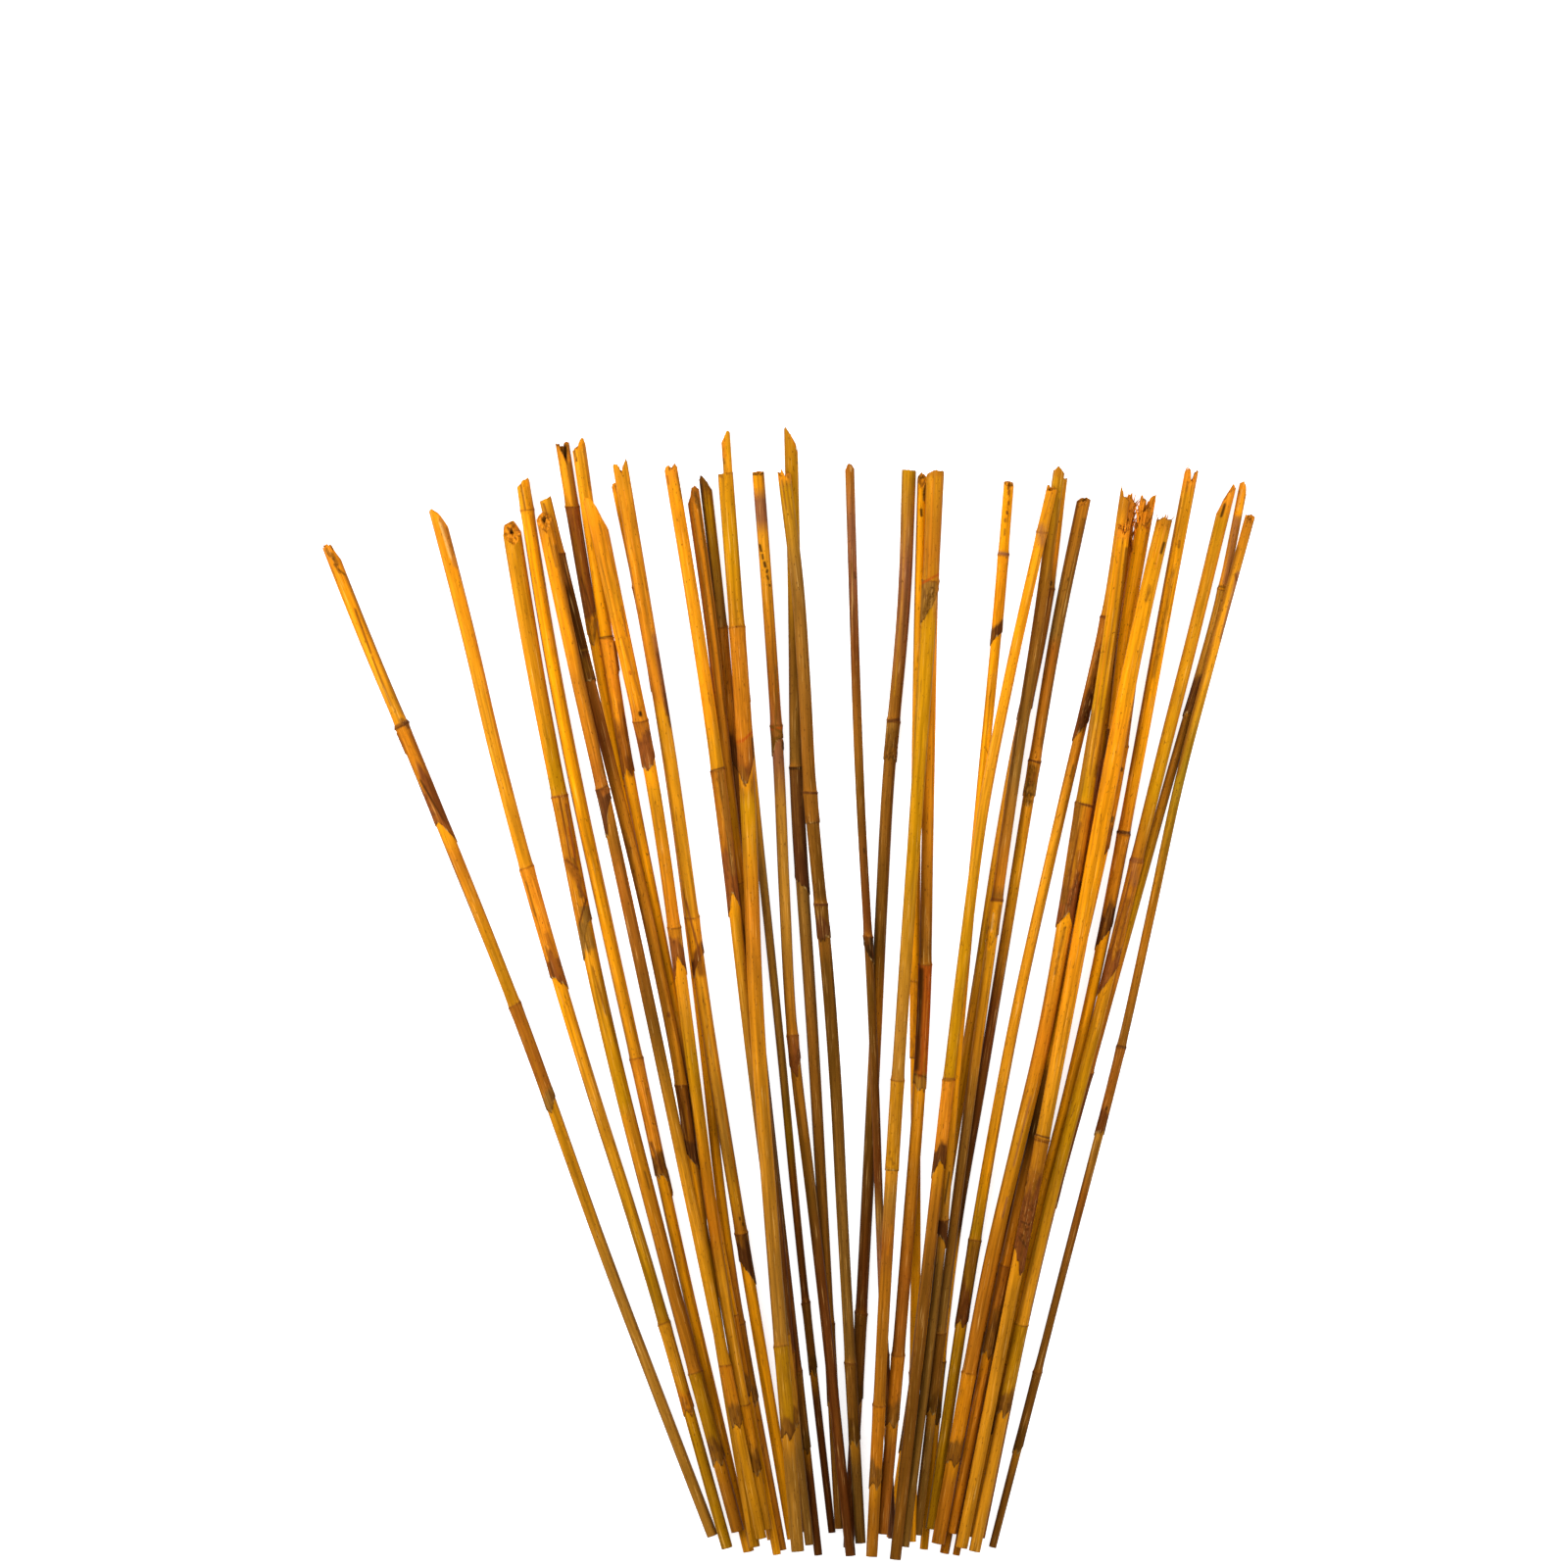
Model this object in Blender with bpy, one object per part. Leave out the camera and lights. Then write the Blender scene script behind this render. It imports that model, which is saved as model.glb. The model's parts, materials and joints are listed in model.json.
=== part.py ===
"""A bunch of cut reeds lying on a flat surface, their thick ends spread like a fan.

Metres, +Z up. The reeds lie along Y, cut ends towards +Y, and X runs across the fan.
The origin is on the surface, under the middle of the bunch's box.
"""

import math
from collections import namedtuple

import bmesh
import bpy
import numpy as np

# Driving dimensions, in millimetres.
MM = 0.001
SIDES = 8                 # corners of each reed's cross-section
CLEARANCE = 0.3           # air between two reeds where they touch
NODE_SWELL = 0.55         # how far a node stands out from the culm, all round
NODE_RISE = 1.5           # length of the slope up to a node
SHEATH_WALL = 0.3         # thickness of the leaf sheath that clasps the culm below a node
SHEATH_LIP = 1.5          # length of the step down from the sheath's end to the culm
BARE_NODE = 2.5           # length of the slope down from a node that has lost its sheath
CUT_RUN = 4.0             # culm between a slanted cut and the first round ring
LONGEST_RUN = 75.0        # no stretch between two rings is longer
FOOT_TAPER = 0.94         # width at the thin end, as a share of the width at the lowest line
SAMPLE_STEP = 1.5         # spacing of the points that are tested when a reed is laid on others
STEEPEST = 0.12           # steepest rise that is tried when a reed is laid on others

# The four cross lines where every reed's place is given, and the two where its width is.
CROSS_LINES = (485.0, 395.0, 275.0, 155.0)
UPPER_LINE = 395.0
LOWER_LINE = 155.0

# Base colours (linear), roughness of a dry culm.
TONES = {
    "gold": (0.88, 0.40, 0.035),
    "straw": (0.74, 0.37, 0.060),
    "olive": (0.52, 0.27, 0.020),
    "amber": (0.66, 0.24, 0.020),
    "umber": (0.26, 0.11, 0.022),
}
CULM_ROUGHNESS = 0.42

# One row for each reed, in millimetres. Seen from above, with the fan at the top:
#   tip    x and y of the middle of the cut at the thick end
#   at     x of the culm's middle on each of the four cross lines
#   foot   x and y of the middle of the thin end
#   width  culm's width at the tip, on the upper line and on the lower line
#   cut    how much further the cut's left edge reaches than its right edge,
#          and its underside than its top
#   nodes  y of each node, and y where the sheath below it ends (None where it is lost)
Reed = namedtuple("Reed", "name tone tip at foot width cut nodes")

REEDS = (
    Reed("reed_01", "gold", tip=(-246.5, 514), at=(-235.2, -197.8, -149.8, -106.5), foot=(-51.5, 11),
         width=(6.8, 6.8, 6.0), cut=(10, 4), nodes=((425, 371), (282.5, 230))),
    Reed("reed_02", "gold", tip=(-192.4, 534), at=(-179.6, -157.9, -124.2, -86.5), foot=(-44, 5),
         width=(7.6, 7.2, 6.2), cut=(10, 2), nodes=((352.5, 293), (120, 75))),
    Reed("reed_03", "olive", tip=(-154.2, 525), at=(-147.8, -130.8, -106.4, -76), foot=(-38.5, 14),
         width=(9.5, 8.2, 7.2), cut=(2, 11), nodes=((389, 306.5), (95, 50))),
    Reed("reed_04", "gold", tip=(-148.4, 549.5), at=(-138.3, -121.2, -94.8, -68.5), foot=(-33, 3),
         width=(7.0, 7.2, 6.0), cut=(-3, 0), nodes=((535, None), (255, 195))),
    Reed("reed_05", "amber", tip=(-137.5, 532), at=(-127.9, -107.9, -81.8, -56.4), foot=(-26.5, 12),
         width=(7.8, 6.5, 5.8), cut=(0, 5), nodes=((392.5, 369.5), (100, 70))),
    Reed("reed_06", "umber", tip=(-136.6, 540), at=(-123.3, -101.3, -73.2, -54.6), foot=(-30, 7),
         width=(6.2, 6.0, 6.0), cut=(1.5, 2), nodes=((512.5, 447.5), (242, 200))),
    Reed("reed_07", "olive", tip=(-128.3, 569), at=(-114.5, -97.3, -70.4, -48.7), foot=(-21.5, 9),
         width=(7.0, 5.0, 4.5), cut=(2, 0), nodes=((537, 475), (220, 175))),
    Reed("reed_08", "gold", tip=(-120, 569), at=(-107.8, -93.2, -69.2, -46.7), foot=(-18.5, 2.5),
         width=(7.0, 6.0, 4.5), cut=(-5, 0), nodes=((470, 399), (125, 85))),
    Reed("reed_09", "gold", tip=(-111.3, 534.5), at=(-100.6, -81.8, -64.5, -48.5), foot=(-24, 16),
         width=(9.5, 6.6, 6.0), cut=(11, 4), nodes=((427.5, 401.5), (322.5, 295), (80, 45))),
    Reed("reed_10", "gold", tip=(-98.2, 556), at=(-86.2, -71.2, -54.5, -35), foot=(-10.5, 10),
         width=(7.8, 7.0, 6.2), cut=(0, 0), nodes=((327.5, 295), (166.5, 146.5))),
    Reed("reed_11", "amber", tip=(-100.5, 548), at=(-87.5, -72.6, -57.3, -43.2), foot=(-16, 4),
         width=(5.5, 5.2, 5.0), cut=(0, 0), nodes=((496.5, 445), (120, 80))),
    Reed("reed_12", "gold", tip=(-72.6, 556), at=(-60.9, -47.8, -33.8, -19.4), foot=(-2, 7.5),
         width=(6.8, 6.8, 4.8), cut=(1, 0), nodes=((402.5, 335), (115, 70))),
    Reed("reed_13", "amber", tip=(-61.5, 543.5), at=(-53.2, -43.2, -29.2, -16.6), foot=(-5, 13.5),
         width=(6.8, 6.0, 5.0), cut=(-7, 0), nodes=((345, 300), (105, 65))),
    Reed("reed_14", "umber", tip=(-55.4, 550.5), at=(-47.9, -39.8, -28.3, -14.9), foot=(2.5, 1),
         width=(6.0, 5.8, 4.5), cut=(7, 0), nodes=((475, 400), (95, 55))),
    Reed("reed_15", "straw", tip=(-44.9, 573), at=(-38.7, -30.6, -18.1, -6.6), foot=(9.5, 12.5),
         width=(4.8, 4.5, 4.0), cut=(-5, 0), nodes=((475, 435), (130, 95))),
    Reed("reed_16", "gold", tip=(-44.8, 553), at=(-39.6, -33.8, -28.8, -20), foot=(-8, 6),
         width=(7.8, 8.0, 7.2), cut=(1, 0), nodes=((475, 417.5), (110, 65))),
    Reed("reed_17", "amber", tip=(-28.2, 554.5), at=(-23, -17.1, -11.4, 2.6), foot=(19, 2),
         width=(6.0, 5.8, 5.5), cut=(0, 2), nodes=((425, 410), (267, 247.5))),
    Reed("reed_18", "umber", tip=(-11.5, 573), at=(-9.6, -8.4, -0.9, 6), foot=(13.5, 15),
         width=(6.8, 6.8, 5.5), cut=(7, 0), nodes=((403.5, 342.5), (120, 80))),
    Reed("reed_19", "umber", tip=(-15, 553.5), at=(-7.1, -1.9, 9.2, 15.8), foot=(24, 8),
         width=(6.5, 6.8, 5.8), cut=(0, 3), nodes=((391, 375), (334, 316.5), (100, 60))),
    Reed("reed_20", "umber", tip=(18.5, 558.5), at=(20.6, 23.7, 30.1, 34.4), foot=(40, 11),
         width=(4.6, 4.6, 4.3), cut=(0, 0), nodes=((317.5, 303.5), (105, 70))),
    Reed("reed_21", "umber", tip=(48.8, 555), at=(46.1, 38.2, 32.2, 26.1), foot=(18, 5),
         width=(7.2, 6.3, 6.0), cut=(0, 0), nodes=((427.5, 407.5), (125, 80))),
    Reed("reed_22", "straw", tip=(55.8, 553.5), at=(54, 52.5, 52, 52.2), foot=(50, 9),
         width=(5.0, 5.0, 5.0), cut=(0, 2), nodes=((295, 255), (95, 55))),
    Reed("reed_23", "olive", tip=(62.2, 554), at=(59.1, 53.3, 44.8, 37.2), foot=(29.5, 3),
         width=(8.8, 6.8, 6.2), cut=(1, 2), nodes=((499, 477.5), (245, 198.5), (80, 40))),
    Reed("reed_24", "amber", tip=(62, 541), at=(60.6, 58.7, 56, 47.2), foot=(35, 14),
         width=(5.8, 6.0, 6.5), cut=(-4, 0), nodes=((303.5, 246), (105, 70))),
    Reed("reed_25", "gold", tip=(100, 549.5), at=(94.7, 86, 74.8, 64.5), foot=(46.5, 7),
         width=(5.2, 5.0, 4.8), cut=(0, 3), nodes=((512.5, 470), (173.5, 164))),
    Reed("reed_26", "gold", tip=(121.5, 546), at=(107.6, 88.6, 72.4, 58.6), foot=(41.5, 1),
         width=(5.5, 5.5, 6.2), cut=(0, 0), nodes=((523.5, None), (245, 200))),
    Reed("reed_27", "olive", tip=(125.5, 556.5), at=(115.9, 102, 85.4, 69.8), foot=(53, 12),
         width=(6.0, 6.0, 5.0), cut=(0, 2), nodes=((336, 315), (115, 75))),
    Reed("reed_28", "umber", tip=(126.8, 551), at=(118.6, 100.5, 81.3, 62), foot=(40, 10),
         width=(6.0, 6.0, 5.8), cut=(0, 0), nodes=((495, 431.5), (95, 55))),
    Reed("reed_29", "umber", tip=(138.5, 541.5), at=(126.6, 111.1, 91.5, 71.6), foot=(56.5, 4),
         width=(6.8, 6.0, 4.5), cut=(0, 3), nodes=((407, 390), (100, 70))),
    Reed("reed_30", "straw", tip=(159, 542), at=(150.3, 129.8, 102.8, 81.2), foot=(60, 15),
         width=(5.5, 5.3, 6.0), cut=(4, 0), nodes=((480, 418.5), (162.5, 120))),
    Reed("reed_31", "gold", tip=(158, 524.5), at=(153.2, 139.4, 119.2, 91), foot=(63.5, 8),
         width=(6.5, 8.5, 7.2), cut=(0, 3), nodes=((385, 327), (95, 50))),
    Reed("reed_32", "umber", tip=(162, 541.5), at=(157, 144.5, 122.5, 96), foot=(67, 2),
         width=(5.0, 5.0, 5.0), cut=(0, 4), nodes=((345, 300), (115, 80))),
    Reed("reed_33", "amber", tip=(170.5, 539.5), at=(161, 150, 125.5, 99.2), foot=(70.5, 13),
         width=(8.0, 6.8, 6.0), cut=(-8, 3), nodes=((422.5, 410), (149.5, 105))),
    Reed("reed_34", "gold", tip=(178.5, 529.5), at=(168, 150.2, 128, 105), foot=(75.5, 6),
         width=(8.0, 9.0, 6.5), cut=(1, 3), nodes=((215, 150),)),
    Reed("reed_35", "umber", tip=(175, 515), at=(169.1, 155.6, 129, 103), foot=(73, 1),
         width=(4.0, 4.0, 4.0), cut=(0, 0), nodes=((415, 361), (120, 85))),
    Reed("reed_36", "gold", tip=(193, 554), at=(180, 163.3, 139.3, 109.4), foot=(79, 11),
         width=(7.0, 6.5, 5.2), cut=(-2, 2), nodes=((370, 315), (100, 65))),
    Reed("reed_37", "olive", tip=(211.8, 544), at=(197.5, 174.6, 145.1, 114.2), foot=(82, 4),
         width=(6.8, 6.5, 6.2), cut=(-15, 2), nodes=((356, 291), (120, 75))),
    Reed("reed_38", "umber", tip=(220.2, 549), at=(206.8, 181.2, 148.2, 115.9), foot=(85.5, 10),
         width=(4.5, 5.0, 4.5), cut=(0, 0), nodes=((495, 431.5), (248, 184))),
    Reed("reed_39", "amber", tip=(222.8, 531.5), at=(210.1, 186.5, 160.6, 130), foot=(91.5, 5),
         width=(5.2, 4.8, 4.2), cut=(-1.5, 0), nodes=((261, 215), (95, 55))),
)

# The reeds in the order in which they are laid down, by number, in layers: a reed rests on
# the surface or on reeds of earlier layers, and those of one layer don't cross.
LAYERS = (
    (1, 2, 4, 7, 14, 15, 21, 28, 29, 32, 35, 38),
    (3, 11, 13, 18, 20, 27, 30, 33, 36, 39),
    (8, 10, 12, 19, 22, 31, 34, 37),
    (6, 16, 17, 24, 25),
    (9, 23, 26),
    (5,),
)


def clear_scene():
    """Remove every object that the file holds."""
    for thing in list(bpy.data.objects):
        bpy.data.objects.remove(thing, do_unlink=True)


def axis_x(reed, y):
    """x of the reed's axis at y: a smooth curve through foot, cross lines and tip.

    Between two given points it is a cubic that leaves each of them with the mean of the
    slopes on its two sides.
    """
    knots_y = np.array([reed.foot[1], *reversed(CROSS_LINES), reed.tip[1]], float)
    knots_x = np.array([reed.foot[0], *reversed(reed.at), reed.tip[0]], float)
    steps = np.diff(knots_y)
    slopes = np.diff(knots_x) / steps
    inner = (slopes[:-1] + slopes[1:]) / 2
    tangents = np.concatenate([slopes[:1], inner, slopes[-1:]])
    y = np.asarray(y, float)
    i = np.clip(np.searchsorted(knots_y, y) - 1, 0, len(steps) - 1)
    t = (y - knots_y[i]) / steps[i]
    t = np.clip(t, 0, 1)
    cubic = (
        (2 * t**3 - 3 * t**2 + 1) * knots_x[i]
        + (t**3 - 2 * t**2 + t) * steps[i] * tangents[i]
        + (3 * t**2 - 2 * t**3) * knots_x[i + 1]
        + (t**3 - t**2) * steps[i] * tangents[i + 1]
    )
    beyond = y - np.clip(y, knots_y[0], knots_y[-1])
    end_slope = np.where(beyond < 0, tangents[0], tangents[-1])
    return cubic + beyond * end_slope


def culm_radius(reed, y):
    """Radius of the bare culm at y, straight between the widths that are given."""
    places = (reed.foot[1], LOWER_LINE, UPPER_LINE, reed.tip[1])
    widths = (reed.width[2] * FOOT_TAPER, reed.width[2], reed.width[1], reed.width[0])
    return np.interp(y, places, widths) / 2


def cut_reach(reed):
    """Half of the length that the slanted cut covers along the reed."""
    return (abs(reed.cut[0]) + abs(reed.cut[1])) / 2


def ring_rows(reed):
    """Rows of (y, swelling) for the rings, from the foot to the tip."""
    rows = [(reed.foot[1], 0.0), (reed.tip[1] - cut_reach(reed) - CUT_RUN, 0.0), (reed.tip[1], 0.0)]
    for node, sheath_end in reed.nodes:
        rows += [(node + NODE_RISE, 0.0), (node, NODE_SWELL)]
        if sheath_end is None:
            rows.append((node - BARE_NODE, 0.0))
        else:
            rows += [(sheath_end, SHEATH_WALL), (sheath_end - SHEATH_LIP, 0.0)]
    rows.sort()
    filled = [rows[0]]
    for low, high in zip(rows, rows[1:]):
        parts = math.ceil((high[0] - low[0]) / LONGEST_RUN)
        for k in range(1, parts):
            share = k / parts
            filled.append((low[0] + share * (high[0] - low[0]), low[1] + share * (high[1] - low[1])))
        filled.append(high)
    return np.array(filled)


def reed_samples(reed):
    """Points close together along the reed's axis, as its rings give it: x, y and radius."""
    rows = ring_rows(reed)
    count = int((rows[-1, 0] + cut_reach(reed) - rows[0, 0]) / SAMPLE_STEP) + 2
    y = np.linspace(rows[0, 0], rows[-1, 0] + cut_reach(reed), count)
    inside = np.minimum(y, rows[-1, 0])
    x = np.interp(inside, rows[:, 0], axis_x(reed, rows[:, 0])) + (axis_x(reed, y) - axis_x(reed, inside))
    radius = np.interp(y, rows[:, 0], culm_radius(reed, rows[:, 0]) + rows[:, 1])
    return x, y, radius


def needed_heights(x, y, radius, laid):
    """Lowest height of the axis at each sample: on the surface, and on every reed laid before."""
    heights = radius.copy()
    for other_x, other_y, other_radius, other_z in laid:
        apart = np.hypot(x[:, None] - other_x, y[:, None] - other_y)
        contact = radius[:, None] + other_radius + CLEARANCE
        lift = np.sqrt(np.clip(contact**2 - apart**2, 0, None))
        over = np.where(apart < contact, other_z + lift, 0)
        heights = np.maximum(heights, over.max(axis=1))
    return heights


def lay_reeds():
    """Lay the reeds one after another, each as a straight line that comes down as low as it can.

    Of all the lines that clear what lies below, the one whose height at the reed's middle is
    least is where the reed comes to rest: it then touches on both sides of its middle.
    Returns, for each reed's name, the height of its axis at y = 0 and its rise per millimetre.
    """
    laid = []
    places = {}
    rises = np.linspace(-STEEPEST, STEEPEST, 481)
    for number in (number for layer in LAYERS for number in layer):
        reed = REEDS[number - 1]
        x, y, radius = reed_samples(reed)
        needed = needed_heights(x, y, radius, laid)
        middle = np.average(y, weights=radius**2)
        at_middle = (needed - rises[:, None] * (y - middle)).max(axis=1)
        best = int(at_middle.argmin())
        rise = float(rises[best])
        base = float(at_middle[best] - rise * middle)
        laid.append((x, y, radius, base + rise * y))
        places[reed.name] = (base, rise)
    return places


def ring_points(reed, base, rise):
    """Corners of every ring, as an array of rings by corners by xyz, in millimetres.

    A ring stands upright across the reed. The last one, at the tip, is leaned so that the cut
    slants: each corner slides along the reed in proportion to its place across and up.
    """
    rows = ring_rows(reed)
    y = rows[:, 0]
    x = axis_x(reed, y)
    slope = axis_x(reed, y + 0.5) - axis_x(reed, y - 0.5)
    along = np.stack([slope, np.ones_like(y), np.full_like(y, rise)], axis=1)
    along /= np.linalg.norm(along, axis=1)[:, None]
    across = np.stack([along[:, 1], -along[:, 0], np.zeros_like(y)], axis=1)
    across /= np.linalg.norm(across, axis=1)[:, None]
    upward = np.cross(across, along)
    radius = culm_radius(reed, y) + rows[:, 1]
    turn = np.arange(SIDES) * 2 * math.pi / SIDES
    centre = np.stack([x, y, base + rise * y], axis=1)
    points = (
        centre[:, None, :]
        + radius[:, None, None] * np.cos(turn)[None, :, None] * across[:, None, :]
        + radius[:, None, None] * np.sin(turn)[None, :, None] * upward[:, None, :]
    )
    slide = -(reed.cut[0] * np.cos(turn) + reed.cut[1] * np.sin(turn)) / 2
    points[-1] += slide[:, None] * along[-1]
    return points


def culm_material(reed):
    """The dry culm's colour, with a dull sheen."""
    material = bpy.data.materials.new(reed.name + "_culm")
    material.use_nodes = True
    shader = material.node_tree.nodes["Principled BSDF"]
    shader.inputs["Base Color"].default_value = (*TONES[reed.tone], 1)
    shader.inputs["Roughness"].default_value = CULM_ROUGHNESS
    shader.inputs["Metallic"].default_value = 0
    return material


def build_reed(reed, points):
    """One closed culm: quads between its rings, and a flat face on each end."""
    start = points[0].mean(axis=0)
    model = bmesh.new()
    rings = [[model.verts.new((corner - start) * MM) for corner in ring] for ring in points]
    for low, high in zip(rings, rings[1:]):
        for k in range(SIDES):
            following = (k + 1) % SIDES
            model.faces.new((low[k], low[following], high[following], high[k]))
    model.faces.new(rings[0])
    model.faces.new(rings[-1])
    bmesh.ops.recalc_face_normals(model, faces=model.faces)
    mesh = bpy.data.meshes.new(reed.name)
    model.to_mesh(mesh)
    model.free()
    mesh.shade_smooth()
    mesh.set_sharp_from_angle(angle=math.radians(50))
    mesh.materials.append(culm_material(reed))
    thing = bpy.data.objects.new(reed.name, mesh)
    thing.location = start * MM
    bpy.context.scene.collection.objects.link(thing)


def main():
    """Lay every reed, centre the bunch on the origin, and build it."""
    clear_scene()
    places = lay_reeds()
    shapes = [ring_points(reed, *places[reed.name]) for reed in REEDS]
    corners = np.concatenate([shape.reshape(-1, 3) for shape in shapes])
    low = corners.min(axis=0)
    high = corners.max(axis=0)
    origin = np.array([(low[0] + high[0]) / 2, (low[1] + high[1]) / 2, low[2]])
    for reed, shape in zip(REEDS, shapes):
        build_reed(reed, shape - origin)
    print("box", np.round(high - low, 1), "mm, origin at", np.round(origin, 2))


main()
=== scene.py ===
# %% [markdown]
# # A bunch of cut reeds
#
# A reed's culm is a thin wooden tube. It is solid only at its nodes, and from each node a
# leaf sheath clasps the culm like a torn paper sleeve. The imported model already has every
# culm at its place, with its nodes and sheaths as plain rings. This lesson reads those rings
# and dresses each culm with a fine surface: a torn or sawn end, papery sheaths with ragged
# hems, stains, and the fibres of the skin.

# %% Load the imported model
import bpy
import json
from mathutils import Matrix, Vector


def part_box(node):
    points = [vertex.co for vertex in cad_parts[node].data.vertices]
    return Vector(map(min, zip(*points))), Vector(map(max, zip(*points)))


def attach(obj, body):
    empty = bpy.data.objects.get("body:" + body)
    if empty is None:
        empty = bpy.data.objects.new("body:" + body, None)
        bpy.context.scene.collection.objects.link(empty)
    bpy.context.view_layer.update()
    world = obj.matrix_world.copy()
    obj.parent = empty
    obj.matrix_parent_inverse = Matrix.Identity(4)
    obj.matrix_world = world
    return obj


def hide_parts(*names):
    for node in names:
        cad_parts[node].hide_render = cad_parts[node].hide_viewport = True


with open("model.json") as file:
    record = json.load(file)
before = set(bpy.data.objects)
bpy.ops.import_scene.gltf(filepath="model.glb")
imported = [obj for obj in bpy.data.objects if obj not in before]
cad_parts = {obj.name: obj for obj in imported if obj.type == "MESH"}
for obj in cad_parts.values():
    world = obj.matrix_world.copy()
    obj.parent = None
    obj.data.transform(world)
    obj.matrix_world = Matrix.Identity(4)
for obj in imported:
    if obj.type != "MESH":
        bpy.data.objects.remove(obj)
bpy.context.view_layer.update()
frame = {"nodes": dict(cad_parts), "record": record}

import json
import math
from collections import namedtuple

import bpy
import numpy as np

MM = 0.001
print("the packed model has", len(frame["nodes"]), "reeds")

# %% [markdown]
# ## Colours
#
# Dry reed runs from a bright straw gold to a nearly black brown where the sheath rotted
# before it dried. The tones are named once and used by name below. A hex value is sRGB, and
# Blender's shaders work in linear light, so one function turns each of them.

# %% Name the tones
def linear(hex_value):
    """sRGB hex to linear RGB: a straight part near black, then a power of 2.4."""
    value = np.array([int(hex_value[i:i + 2], 16) for i in (1, 3, 5)]) / 255
    return np.where(value <= 0.04045, value / 12.92, ((value + 0.055) / 1.055) ** 2.4)


TONES = {name: linear(value) for name, value in {
    "bright": "#FFB010", "gold": "#F99E0C", "honey": "#EB8F10", "straw": "#E2931A",
    "corn": "#D98A14", "ochre": "#CB8410", "olive": "#BF8208", "moss": "#A27810",
    "pith": "#E8881C", "cream": "#EDBE70", "amber": "#D27A12", "caramel": "#C27215",
    "tan": "#B26B14", "hay": "#B07624", "ember": "#AE4C10", "rust": "#A25A16",
    "umber": "#8A5416", "drab": "#8E6022", "mauve": "#945A38", "sepia": "#6E4410",
    "russet": "#86461C", "chestnut": "#703812", "bark": "#582E14", "hollow": "#3A1C06", "soot": "#2C180A",
}.items()}
print(len(TONES), "tones")

# %% [markdown]
# ## Reading a culm from the model
#
# Each node of the model is one culm made of rings of eight corners. Sorted along the culm,
# the rings give back what a maker would measure: the axis, the width of the bare culm, where
# the nodes stand and where each sheath ends. Measuring the model, and not typing the numbers
# again, keeps the fine surface exactly on the solid that it stands for.
#
# All places along a reed are given below in millimetres above a line just under the lowest
# foot of the bunch, so that a height reads the same on every reed.

# %% Measure every culm
CORNERS = 8
RING_GAP = 0.4
FOOT_LINE = min(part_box(name)[0].y for name in frame["nodes"]) / MM - 0.6

Culm = namedtuple("Culm", "axis_y axis_x axis_z bare_y bare_r joints foot tip side face")


def rings_of(points):
    """Whole rings of a culm's corners, from the foot to the tip.

    Along the culm's own direction the corners stand in tight groups, one for each ring, and
    the last eight are the slanted cut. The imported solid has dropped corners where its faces
    lie flat on each other, and a ring that misses some is passed over.
    """
    way = np.linalg.svd(points - points.mean(axis=0), full_matrices=False)[2][0]
    way = way * np.sign(way[1])
    points = points[np.argsort(points @ way)]
    cut = points[-CORNERS:]
    rest = points[:-CORNERS]
    gaps = np.flatnonzero(np.diff(rest @ way) > RING_GAP) + 1
    groups = [group for group in np.split(rest, gaps) if len(group) == CORNERS]
    return np.stack(groups + [cut])


def measure(thing):
    """Rings of a culm, and from them its axis, bare radius, joints and slanted cut.

    A ring that is wider than the next one towards the tip is a node. One that is wider than
    the next towards the foot is the hem of a sheath.
    """
    points = np.empty(len(thing.data.vertices) * 3)
    thing.data.vertices.foreach_get("co", points)
    rings = rings_of(np.unique(points.reshape(-1, 3), axis=0) / MM)
    centres = rings.mean(axis=1)
    along = np.gradient(centres, centres[:, 1], axis=0)
    along /= np.linalg.norm(along, axis=1)[:, None]
    out = rings - centres[:, None]
    reach = (out * along[:, None]).sum(axis=2)
    radius = np.linalg.norm(out - reach[..., None] * along[:, None], axis=2).mean(axis=1)
    y = centres[:, 1] - FOOT_LINE
    near = np.diff(y) < 3
    fall = np.diff(radius)
    nodes = np.flatnonzero(near & (fall < -0.35))
    hems = np.flatnonzero(near & (fall > 0.2) & (fall < 0.45)) + 1
    bare = np.ones(len(y), bool)
    joints = []
    for i in nodes:
        below = [j for j in hems if j < i and not any(j < k < i for k in nodes)]
        hem = max(below) if below else None
        bare[i if hem is None else hem:i + 1] = False
        joints.append((y[i], None if hem is None else y[hem]))
    across = np.stack([along[-1][1], -along[-1][0]])
    across /= np.linalg.norm(across)
    cosine = (out[-1, :, :2] @ across) / radius[-1]
    sine = out[-1, :, 2] / radius[-1]
    return Culm(
        axis_y=y, axis_x=centres[:, 0], axis_z=centres[:, 2], bare_y=y[bare], bare_r=radius[bare],
        joints=joints[::-1], foot=y[0], tip=y[-1],
        side=-4 * (reach[-1] * cosine).mean(), face=-4 * (reach[-1] * sine).mean(),
    )


culms = {name: measure(thing) for name, thing in sorted(frame["nodes"].items())}
for name, culm in culms.items():
    places = ", ".join(f"{y:.0f}" + (f"-{hem:.0f}" if hem else "") for y, hem in culm.joints)
    print(f"{name}: {culm.foot:.0f} to {culm.tip:.0f} mm, {culm.bare_r[-1] * 2:.1f} wide, at {places}")
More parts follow.
